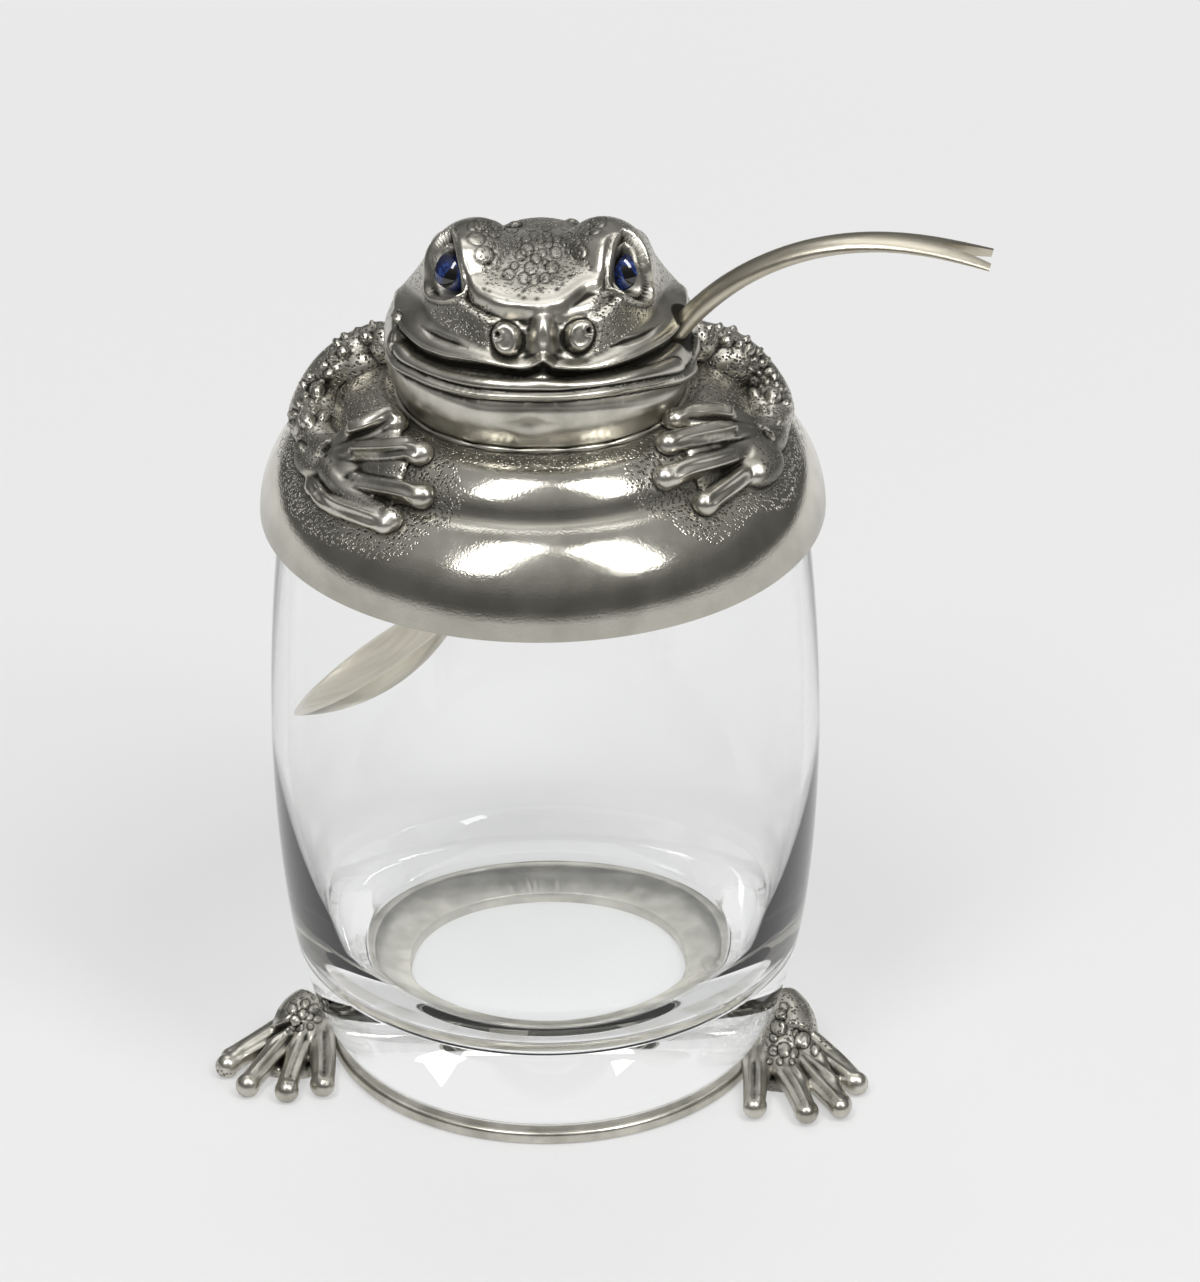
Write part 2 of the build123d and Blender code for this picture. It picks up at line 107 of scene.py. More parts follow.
def spunPiece(name, outline, steps, smoothAngle):
    # a single point is extruded along the outline and spun about the upright axis
    deselect()
    bpy.ops.mesh.primitive_plane_add(size=mm)
    piece = bpy.context.object
    piece.name = name
    piece.data.name = name
    bpy.ops.object.mode_set(mode="EDIT")
    bpy.ops.mesh.select_all(action="SELECT")
    bpy.ops.mesh.merge(type="CENTER")
    bpy.ops.transform.translate(value=(outline[0][0] * mm, 0, outline[0][1] * mm))
    for before, after in zip(outline, outline[1:]):
        move = ((after[0] - before[0]) * mm, 0, (after[1] - before[1]) * mm)
        bpy.ops.mesh.extrude_region_move(TRANSFORM_OT_translate={"value": move})
    bpy.ops.mesh.select_all(action="SELECT")
    bpy.ops.mesh.spin(steps=steps, angle=math.tau, center=(0, 0, 0), axis=(0, 0, 1))
    bpy.ops.mesh.select_all(action="SELECT")
    bpy.ops.mesh.remove_doubles(threshold=weldGap)
    bpy.ops.mesh.normals_make_consistent(inside=False)
    bpy.ops.object.mode_set(mode="OBJECT")
    bpy.ops.object.shade_smooth_by_angle(angle=math.radians(smoothAngle))
    return piece


# Materials
class Shading:
    # the nodes of a material or of the world while they are put together
    def __init__(self, tree):
        self.nodes, self.links = tree.nodes, tree.links

    def add(self, kind, **values):
        node = self.nodes.new(kind)
        for key, value in values.items():
            setattr(node, key, value)
        return node

    def put(self, value, socket):
        # a link from another node's output, or a constant
        if isinstance(value, bpy.types.NodeSocket):
            self.links.new(value, socket)
        else:
            socket.default_value = (*value, 1) if socket.type == "RGBA" else value

    def maths(self, operation, *values):
        node = self.add("ShaderNodeMath", operation=operation)
        for socket, value in zip(node.inputs, values):
            self.put(value, socket)
        return node.outputs[0]

    def ramp(self, source, stops, interpolation="LINEAR"):
        ramp = self.add("ShaderNodeValToRGB")
        ramp.color_ramp.interpolation = interpolation
        elements = ramp.color_ramp.elements
        while len(elements) < len(stops):
            elements.new(0.5)
        for element, (place, colour) in zip(elements, stops):
            element.position = place
            element.color = (*colour, 1)
        self.put(source, ramp.inputs[0])
        return ramp.outputs[0]

    def mix(self, factor, first, second):
        node = self.add("ShaderNodeMix", data_type="RGBA")
        for index, value in ((0, factor), (6, first), (7, second)):
            self.put(value, node.inputs[index])
        return node.outputs[2]

    def noise(self, place, scale, detail):
        node = self.add("ShaderNodeTexNoise")
        for name, value in (("Vector", place), ("Scale", scale), ("Detail", detail)):
            self.put(value, node.inputs[name])
        return node.outputs[0]

    def bump(self, height, depth, strength=1.0, normal=None):
        node = self.add("ShaderNodeBump")
        for name, value in (("Strength", strength), ("Distance", depth * mm), ("Height", height)):
            self.put(value, node.inputs[name])
        if normal is not None:
            self.put(normal, node.inputs["Normal"])
        return node.outputs[0]

    def surface(self, values):
        for name, value in values.items():
            self.put(value, self.nodes["Principled BSDF"].inputs[name])


def startMaterial(name):
    material = bpy.data.materials.new(name)
    material.use_nodes = True
    return material, Shading(material.node_tree)


pewterLook = {
    # dark tone, light tone, and the roughness from one to the other
    "cast": ((0.43, 0.415, 0.36), (0.67, 0.645, 0.58), (0.23, 0.40)),
    "polished": ((0.58, 0.56, 0.49), (0.70, 0.675, 0.60), (0.08, 0.18)),
    # colour and roughness of patina with painted shade
    "patinaAndShade": (0.035, 0.033, 0.026), "patinaAndShadeRoughness": 0.55,
    "mottleScale": 150, "mottleStops": (0.35, 0.62),
    "pitScale": 1650, "pitEdge": (0.2, 0.46), "pitDepth": 0.3, "pitDarkness": 0.85,
    "grainScale": 2600, "grainDepth": 0.035, "grainStrength": 0.6,
    "scratchScale": 900, "scratchLength": 0.004, "scratchDepth": 0.02, "scratchStrength": 0.7,
}
black, white = (0.0, 0.0, 0.0), (1.0, 1.0, 1.0)


def castPewter(name, finish):
    # bright on the high parts, dark with patina and painted shade in the hollows and painted shade in holes,
    # grooves and creases, pitted where the mesh says so
    look = pewterLook
    dark, light, (low, high) = look[finish]
    material, paint = startMaterial(name)
    place = paint.add("ShaderNodeTexCoord").outputs["Object"]
    mottle = paint.noise(place, look["mottleScale"], 6)
    tone = paint.ramp(mottle, list(zip(look["mottleStops"], (dark, light))))
    patinaAndShade = paint.add("ShaderNodeAttribute", attribute_name="patinaAndShade").outputs["Fac"]
    pitted = paint.add("ShaderNodeAttribute", attribute_name="pitted").outputs["Fac"]
    pits = paint.add("ShaderNodeTexVoronoi", feature="F1")
    paint.put(look["pitScale"], pits.inputs["Scale"])
    paint.put(place, pits.inputs["Vector"])
    pitShape = paint.ramp(pits.outputs["Distance"], list(zip(look["pitEdge"], (black, white))), "EASE")
    pitHole = paint.maths("MULTIPLY", paint.maths("SUBTRACT", 1.0, pitShape), pitted)
    darkness = paint.maths("MAXIMUM", patinaAndShade, paint.maths("MULTIPLY", pitHole, look["pitDarkness"]))
    polish = paint.maths("MULTIPLY_ADD", mottle, high - low, low)
    normal = paint.bump(paint.maths("MULTIPLY", pitHole, -1.0), look["pitDepth"])
    grain = paint.noise(place, look["grainScale"], 3)
    normal = paint.bump(grain, look["grainDepth"], look["grainStrength"], normal)
    if finish == "polished":
        # fine circular scratches round the upright axis
        split = paint.add("ShaderNodeSeparateXYZ")
        paint.put(place, split.inputs[0])
        x, y, z = split.outputs
        join = paint.add("ShaderNodeCombineXYZ")
        turn = paint.maths("ARCTAN2", y, x)
        paint.put(paint.maths("MULTIPLY", turn, look["scratchLength"]), join.inputs[0])
        paint.put(z, join.inputs[2])
        scratch = paint.noise(join.outputs[0], look["scratchScale"], 8)
        normal = paint.bump(scratch, look["scratchDepth"], look["scratchStrength"], normal)
    rough = paint.maths("MULTIPLY_ADD", darkness, look["patinaAndShadeRoughness"] - low, polish)
    paint.surface({"Base Color": paint.mix(darkness, tone, look["patinaAndShade"]), "Metallic": 1.0,
                   "Roughness": rough, "Normal": normal})
    return material


spoonLook = {"light": (0.63, 0.59, 0.49), "dark": (0.50, 0.46, 0.37), "roughness": 0.33,
             "stretch": (0.25, 3.0, 0.35), "brushScale": 420, "brushDepth": 0.012}


def satinGold():
    look = spoonLook
    material, paint = startMaterial("satinGold")
    stretch = paint.add("ShaderNodeMapping")
    paint.put(look["stretch"], stretch.inputs["Scale"])
    paint.put(paint.add("ShaderNodeTexCoord").outputs["Object"], stretch.inputs[0])
    brush = paint.noise(stretch.outputs[0], look["brushScale"], 6)
    tone = paint.ramp(brush, [(0.3, look["dark"]), (0.65, look["light"])])
    paint.surface({"Base Color": tone, "Metallic": 1.0, "Roughness": look["roughness"],
                   "Normal": paint.bump(brush, look["brushDepth"])})
    return material


glassLook = {"tint": (0.99, 0.994, 0.992), "ior": 1.47, "shadow": (0.93, 0.94, 0.94)}


def clearGlass():
    # glass that lets most of the light through in its own shadow
    look = glassLook
    material, paint = startMaterial("clearGlass")
    paint.surface({"Base Color": look["tint"], "Roughness": 0.0, "IOR": look["ior"],
                   "Transmission Weight": 1.0})
    clear = paint.add("ShaderNodeBsdfTransparent")
    paint.put(look["shadow"], clear.inputs[0])
    mix = paint.add("ShaderNodeMixShader")
    paint.put(paint.add("ShaderNodeLightPath").outputs["Is Shadow Ray"], mix.inputs[0])
    paint.put(paint.nodes["Principled BSDF"].outputs[0], mix.inputs[1])
    paint.put(clear.outputs[0], mix.inputs[2])
    paint.put(mix.outputs[0], paint.nodes["Material Output"].inputs["Surface"])
    return material


pewter = castPewter("castPewter", "cast")
polishedPewter = castPewter("polishedPewter", "polished")
gold = satinGold()
glass = clearGlass()
print("materials made")


# Glass jar: heavy base, barrel side and thin wall, spun from one outline
jar = {"foot": (35.4, 2.4), "heel": (38.0, 4.9), "sideFoot": (39.9, 9.4), "flank": (44.53, 30.0),
       "belly": (46.25, 60.0), "mouth": (43.0, 108.0), "wall": (2.55, 2.2), "rimRound": 1.0,
       "bowl": (40.9, 32.0), "corner": (37.5, 23.0), "floor": (27.0, 17.0), "arcSteps": 14,
       "steps": 144}


def reversedArcs(belly, mouth, lower):
    # outline from the lowest point up to the mouth; the arcs are drawn from the belly both ways
    down = arcChain(belly, (0, -1), lower, jar["arcSteps"])
    up = arcChain(belly, (0, 1), [mouth], jar["arcSteps"])
    return down[::-1] + up[1:]


outside = reversedArcs(jar["belly"], jar["mouth"], [jar["flank"], jar["sideFoot"], jar["heel"], jar["foot"]])
insideBelly = (jar["belly"][0] - jar["wall"][0], jar["belly"][1])
insideMouth = (jar["mouth"][0] - jar["wall"][1], jar["mouth"][1])
inside = reversedArcs(insideBelly, insideMouth, [jar["bowl"], jar["corner"], jar["floor"]])
rim = jar["rimRound"]
outerRim = arcPoints((jar["mouth"][0] - rim, jar["mouth"][1]), rim, rim, 0, 90, 5)
innerRim = arcPoints((insideMouth[0] + rim, insideMouth[1]), rim, rim, 90, 180, 5)
wallOutline = outside + outerRim[1:] + innerRim[:-1] + inside[::-1]
low, high = jar["foot"][1], jar["floor"][1]
jarOutline = [(0, low), (18, low)] + wallOutline + [(13, high), (0, high)]
glassJar = spunPiece("glassJar", jarOutline, jar["steps"], 50)
dress(glassJar, glass, "jar")
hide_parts("glass_jar")
print("glass jar made")

# Base ring under the glass
ring = {"outer": 37.9, "hole": 25.0, "height": 2.4, "edgeRound": 0.8, "bevel": 0.25, "steps": 160}
edge = ring["edgeRound"]
ringOutline = [(ring["hole"], 0.0), (ring["outer"] - edge, 0.0)]
ringOutline += arcPoints((ring["outer"] - edge, edge), edge, edge, -90, 0, 6)[1:]
ringOutline += arcPoints((ring["outer"] - edge, ring["height"] - edge), edge, edge, 0, 90, 6)
ringOutline += [(ring["hole"] + ring["bevel"], ring["height"]),
                (ring["hole"], ring["height"] - ring["bevel"]), (ring["hole"], 0.0)]
baseRing = spunPiece("baseRing", ringOutline, ring["steps"], 45)
dress(baseRing, pewter, "jar")
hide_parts("base_ring")

# Lid dome: a broad shoulder and the neck roll, parts of ellipses given by their middle and their reaches
dome = {"rim": (47.0, 102.8), "shoulder": (31.5, 102.8, 15.5, 16.3), "neck": (25.5, 117.0, 10.5, 9.0),
        "wall": 1.8, "opening": 20.5, "top": 126.0, "steps": 400, "curveSteps": 40, "spacing": 0.45,
        "blend": 3}


def domeHeight(radius):
    radius = np.asarray(radius)
    heights = [z + rise * np.sqrt(1 - np.clip((radius - r) / reach, 0, 1) ** 2)
               for r, z, reach, rise in (dome["shoulder"], dome["neck"])]
    return np.where(radius < dome["neck"][0] + dome["neck"][2], np.maximum(*heights), heights[0])


def domeCurve(inset):
    # from the rim up over the shoulder and the neck roll to the opening
    def within(point, roll):
        r, z, reach, rise = roll
        return ((point[0] - r) / (reach - inset)) ** 2 + ((point[1] - z) / (rise - inset)) ** 2 < 1

    def quarter(roll):
        r, z, reach, rise = roll
        return arcPoints((r, z), reach - inset, rise - inset, 0, 90, dome["curveSteps"])

    shoulder, neck = dome["shoulder"], dome["neck"]
    lower = [point for point in quarter(shoulder) if point[0] > neck[0] and not within(point, neck)]
    upper = [point for point in quarter(neck) if point[1] >= shoulder[1] and not within(point, shoulder)]
    return lower + upper


def evenCurve(curve, spacing, blend):
    # the same curve with evenly spaced points, its inner corner blended
    curve = np.array(curve)
    along = np.concatenate([[0], np.cumsum(np.hypot(*np.diff(curve, axis=0).T))])
    places = np.linspace(0, along[-1], int(along[-1] / spacing) + 1)
    even = np.stack([np.interp(places, along, column) for column in curve.T], 1)
    for _ in range(blend):
        even[1:-1] = (even[:-2] + 2 * even[1:-1] + even[2:]) / 4
    return [tuple(point) for point in even]


domeOutline = evenCurve(domeCurve(0), dome["spacing"], dome["blend"])
domeOutline += [(dome["opening"], dome["top"]), (dome["opening"], dome["top"] - dome["wall"])]
domeOutline += evenCurve(domeCurve(dome["wall"])[::-1], 3 * dome["spacing"], 0) + [dome["rim"]]
lidDome = spunPiece("lidDome", domeOutline, dome["steps"], 60)
dress(lidDome, polishedPewter, "lid")
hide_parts("lid_dome")
print("ring and dome made")

# Sculpting: a blocked-out form is remeshed evenly, then worked with strokes like a sculptor's brushes.
# Strokes are placed in the view from 29.7 degrees above the front: x, and height in it
slope = math.radians(29.733)
viewUp = np.array([0.0, math.sin(slope), math.cos(slope)])
viewBack = np.array([0.0, -math.cos(slope), math.sin(slope)])


def readPoints(piece):
    points = np.empty(len(piece.data.vertices) * 3)
    piece.data.vertices.foreach_get("co", points)
    return points.reshape(-1, 3) / mm


def writePoints(piece, points):
    piece.data.vertices.foreach_set("co", (points * mm).ravel())
    piece.data.update()


def readNormals(piece):
    normals = np.empty(len(piece.data.vertices) * 3)
    piece.data.vertex_normals.foreach_get("vector", normals)
    return normals.reshape(-1, 3)


def neighbourMean(piece, values, rounds):
    # values averaged with their neighbours along the edges, a number of times over
    pairs = np.empty(len(piece.data.edges) * 2, np.int64)
    piece.data.edges.foreach_get("vertices", pairs)
    first, second = pairs[0::2], pairs[1::2]
    count = len(values)
    share = np.bincount(first, minlength=count) + np.bincount(second, minlength=count) + 1.0
    for _ in range(rounds):
        columns = []
        for column in values.T:
            total = np.bincount(first, column[second], count) + np.bincount(second, column[first], count)
            columns.append((total + column) / share)
        values = np.stack(columns, 1)
    return values


def pathDistance(flat, path):
    # distance of each flat point to a path, and how far along the path it is, from 0 to 1
    path = np.asarray(path, float)
    lengths = np.hypot(*np.diff(path, axis=0).T)
    before = np.concatenate([[0], np.cumsum(lengths)])
    best = np.full(len(flat), 1e9)
    along = np.zeros(len(flat))
    for start, end, length, ahead in zip(path[:-1], path[1:], lengths, before):
        way = (end - start) / max(length, 1e-9)
        share = np.clip((flat - start) @ way, 0, length)
        gap = np.hypot(*(flat - start - share[:, None] * way).T)
        closer = gap < best
        best[closer] = gap[closer]
        along[closer] = (ahead + share[closer]) / before[-1]
    return best, along


def insideOutline(flat, outline):
    # signed distance to a closed outline, positive inside
    outline = np.asarray(outline, float)
    gap, _ = pathDistance(flat, np.vstack([outline, outline[:1]]))
    inside = np.zeros(len(flat), bool)
    for (x0, y0), (x1, y1) in zip(outline, np.roll(outline, -1, axis=0)):
        crosses = (y0 > flat[:, 1]) != (y1 > flat[:, 1])
        if y0 != y1:
            inside ^= crosses & (flat[:, 0] < (x1 - x0) * (flat[:, 1] - y0) / (y1 - y0) + x0)
    return np.where(inside, gap, -gap)


def smoothStep(values):
    values = np.clip(values, 0, 1)
    return values * values * (3 - 2 * values)


def bell(values, middle, width):
    return np.exp(-((values - middle) / width) ** 2)


def smoothPath(path, count):
    # a path through the same points, rounded
    path = np.asarray(path, float)
    if len(path) < 3:
        return path
    padded = np.vstack([2 * path[0] - path[1], path, 2 * path[-1] - path[-2]])
    rounded = []
    for before, start, end, after in zip(padded, padded[1:], padded[2:], padded[3:]):
        bend = 2 * before - 5 * start + 4 * end - after
        twist = 3 * start - before - 3 * end + after
        for step in range(count):
            t = step / count
            rounded.append(0.5 * (2 * start + (end - before) * t + bend * t * t + twist * t ** 3))
    return np.vstack([rounded, path[-1]])


def closedPath(outline):
    return smoothPath(outline + outline[:1], 4)


def writeShading(piece, patinaAndShade, pitted):
    # patinaAndShade holds patina with painted shade in the hollows, holes and creases
    for name, values in (("patinaAndShade", patinaAndShade), ("pitted", pitted)):
        attribute = piece.data.attributes.new(name, "FLOAT", "POINT")
        attribute.data.foreach_set("value", values.astype(np.float32))
    piece.data.update()


class Clay:
    # a piece while it is worked, moved along the smooth form's normals where it faces the front view
    def __init__(self, piece):
        self.piece = piece
        self.points = readPoints(piece)
        self.normals = readNormals(piece)
        self.flat = np.stack([self.points[:, 0], self.points @ viewUp], 1)
        self.open = smoothStep(self.normals @ viewBack / 0.15)
        self.pitted = np.zeros(len(self.points))
        self.dark = np.zeros(len(self.points))

    def awayFrom(self, spot):
        return np.hypot(*(self.flat - spot).T)

    def raiseBy(self, amount):
        self.points += self.normals * (amount * self.open)[:, None]

    def darken(self, amount):
        self.dark = np.maximum(self.dark, amount)

    def ridge(self, values, row, share=1.0):
        # a soft ridge or groove where the values come near its place; a row is height, place and width
        height, place, width = row
        self.raiseBy(height * bell(values, place, width) * share)

    def shadeBand(self, values, row, share=1.0):
        # painted shade of the same form, a dark band along a groove or gap
        amount, place, width = row
        self.darken(amount * bell(values, place, width) * share * self.open)

    def stroke(self, path, radius, height, shape="soft", taper=0.0):
        gap, along = pathDistance(self.flat, smoothPath(path, 5))
        if taper:
            ends = smoothStep(np.minimum(along, 1 - along) / taper)
            radius = radius * (0.35 + 0.65 * ends)
            height = height * (0.2 + 0.8 * ends)
        share = np.clip(gap / radius, 0, 1)
        self.raiseBy(height * (np.sqrt(1 - share ** 2) if shape == "round" else smoothStep(1 - share)))

    def wart(self, centre, radius, height, ringDepth):
        # a low dome, flatter where it has a groove round it, with painted shade in that groove
        gap = self.awayFrom(centre)
        self.raiseBy(height * smoothStep((1 - gap / radius) / (0.35 if ringDepth else 0.62)))
        if ringDepth:
            self.ridge(gap, (-ringDepth, radius, 0.15))
            self.shadeBand(gap, (0.85, radius, 0.15))

    def finish(self, deepest):
        # hollows darken the way an antiqued casting's patina does, and the same darkening paints their
        # shade; the painted shade kept in dark is added
        writePoints(self.piece, self.points)
        normals = readNormals(self.piece)
        near = neighbourMean(self.piece, self.points, 5)
        wide = neighbourMean(self.piece, near, 20)
        hollow = 3 * np.einsum("ij,ij->i", near - self.points, normals)
        hollow += np.einsum("ij,ij->i", wide - self.points, normals)
        writeShading(self.piece, np.maximum(smoothStep(hollow / deepest), self.dark), self.pitted)


def remesh(piece, voxel, smoothing):
    modifier = piece.modifiers.new("even", "REMESH")
    modifier.mode = "VOXEL"
    modifier.voxel_size = voxel * mm
    if smoothing:
        modifier = piece.modifiers.new("soften", "SMOOTH")
        modifier.factor = 0.5
        modifier.iterations = smoothing
    applyModifiers(piece)
    bpy.ops.object.shade_smooth()


def refine(piece, chosen):
    # faces whose corners are all chosen are divided in four
    makeActive(piece)
    bpy.ops.object.mode_set(mode="EDIT")
    bpy.ops.mesh.select_mode(type="VERT")
    bpy.ops.mesh.select_all(action="DESELECT")
    bpy.ops.object.mode_set(mode="OBJECT")
    piece.data.vertices.foreach_set("select", chosen)
    bpy.ops.object.mode_set(mode="EDIT")
    bpy.ops.mesh.subdivide(number_cuts=1, smoothness=0.0)
    bpy.ops.object.mode_set(mode="OBJECT")
    bpy.ops.object.shade_smooth()


def addBall(place, radii, turn=(0, 0, 0)):
    deselect()
    bpy.ops.mesh.primitive_uv_sphere_add(segments=40, ring_count=24, radius=mm,
                                         location=Vector(place) * mm,
                                         rotation=[math.radians(a) for a in turn])
    ball = bpy.context.object
    ball.scale = radii
    bpy.ops.object.transform_apply(location=True, rotation=True, scale=True)
    return ball


def joinPieces(pieces, name):
    deselect()
    for piece in pieces:
        piece.select_set(True)
    bpy.context.view_layer.objects.active = pieces[0]
    bpy.ops.object.join()
    pieces[0].name = name
    pieces[0].data.name = name
    return pieces[0]


# Head
head = {
    # height, half width, reach to the front and to the back
    "rows": [
        (124.6, 23.3, 24.6, 21.3), (126, 23.5, 24.9, 21.6), (131, 25.6, 27.0, 22.3),
        (135.5, 26.0, 27.0, 22.0), (139, 24.6, 26.8, 21.2), (142, 22.0, 25.8, 20.4),
        (146, 19.4, 24.2, 19.0), (150, 18.0, 22.0, 17.5), (155, 15.5, 19.5, 16.0),
        (161, 12.0, 16.0, 14.0)],
    "power": 2.25,
    "forehead": [
        (-31, 142.6), (-25, 146.6), (-20.8, 149.2), (-12, 151.2), (-4, 152.0), (2, 151.9), (8, 149.8),
        (14, 146.6), (18, 143.2), (23, 132)],
    # balls: place, radii and turn
    "brow": ((10.9, -2.6, 148.7), (7.5, 10.6, 7.4), (-8, 0, 14)),
    "parotoid": ((18.6, 6.0, 134.8), (6.4, 9.5, 5.8), (-6, 0, 8)),
    "nape": ((0, 10.5, 142.0), (11.0, 9.5, 7.2), (0, 0, 0)),
    # voxel size and rounds of smoothing
    "block": (0.8, 14), "mesh": (0.48, 4),
    "wall": 2.6,
    # where the mesh is divided once more: the face and the forehead
    "fine": {"facing": -0.05, "near": 60, "front": 6, "above": 103, "halfWidth": 24.5},
    "mouthHole": {"through": (21.6, -8.2, 137.4), "way": (0.5401, -0.0701, 0.8387), "radius": 3.5,
                  "length": 40},
    "wartHeight": 0.11, "ringDepth": 0.12,
    "pits": {"count": 110, "x": (-9.5, 10.0), "v": (119.6, 135.5), "radius": (0.2, 0.34), "depth": 0.12,
             "darkness": 0.9},
    "backWarts": {"count": 90, "box": ((-15, 15), (2, 20), (138, 152)), "radius": (0.7, 1.3),
                  "height": 0.75},
    # the dark line at the foot: darkness, height and width; and the hollow that counts as fully dark
    "seam": (0.9, 126, 0.7), "deepest": 0.38,
}


def superOutline(angle, halfWidth, front, rear, power):
    across, along = np.cos(angle), np.sin(angle)
    size = (np.abs(across) ** power + np.abs(along) ** power) ** (1 / power)
    return halfWidth * across / size, np.where(along < 0, front, rear) * along / size


def headCore(inset):
    # a ball whose rings are pulled out to the outlines and pressed down under the forehead
    deselect()
    bpy.ops.mesh.primitive_uv_sphere_add(segments=96, ring_count=64, radius=mm)
    core = bpy.context.object
    points = readPoints(core)
    rows = np.array(head["rows"], float)
    angle = np.arctan2(points[:, 1], points[:, 0])
    climb = points[:, 2] * 0.5 + 0.5
    height = rows[0, 0] + (rows[-1, 0] - rows[0, 0]) * np.clip(climb * 1.06 - 0.03, 0, 1)
    closing = np.clip(np.minimum(climb, 1 - climb) / 0.03, 0, 1)
    halfWidth, front, rear = (np.interp(height, rows[:, 0], rows[:, k]) - inset for k in (1, 2, 3))
    x, y = superOutline(angle, halfWidth, front, rear, head["power"])
    forehead = np.array(head["forehead"], float)
    z = np.minimum(height, np.interp(y * closing, forehead[:, 0], forehead[:, 1]) - inset)
    writePoints(core, np.stack([x * closing, y * closing, z], 1))
    return core


def mirroredBalls(spec):
    (x, y, z), radii, (tiltX, tiltY, turnZ) = spec
    return [addBall((side * x, y, z), radii, (tiltX, side * tiltY, side * turnZ)) for side in (-1, 1)]


def cutWith(piece, cutter):
    modifier = piece.modifiers.new("cut", "BOOLEAN")
    modifier.operation = "DIFFERENCE"
    modifier.object = cutter
    modifier.solver = "EXACT"
    applyModifiers(piece)
    bpy.data.objects.remove(cutter)


def blockHead():
    # the hollow form with the spoon's hole, and a finer mesh over the face
    form = [headCore(0)] + mirroredBalls(head["brow"]) + mirroredBalls(head["parotoid"])
    piece = joinPieces(form + [addBall(*head["nape"])], "toadHead")
    remesh(piece, *head["block"])
    cutWith(piece, headCore(head["wall"]))
    mouth = head["mouthHole"]
    deselect()
    bpy.ops.mesh.primitive_cylinder_add(vertices=64, radius=mouth["radius"] * mm, depth=mouth["length"] * mm,
                                        location=Vector(mouth["through"]) * mm,
                                        rotation=Vector(mouth["way"]).to_track_quat("Z", "X").to_euler())
    cutter = bpy.context.object
    bpy.ops.object.transform_apply(location=True, rotation=True, scale=True)
    cutWith(piece, cutter)
    remesh(piece, *head["mesh"])
    points, fine = readPoints(piece), head["fine"]
    chosen = (readNormals(piece) @ viewBack > fine["facing"]) & (points[:, 1] < fine["front"])
    chosen &= (points @ viewUp > fine["above"]) & (points @ viewBack > fine["near"])
    refine(piece, chosen & (np.abs(points[:, 0]) < fine["halfWidth"]))
    return piece


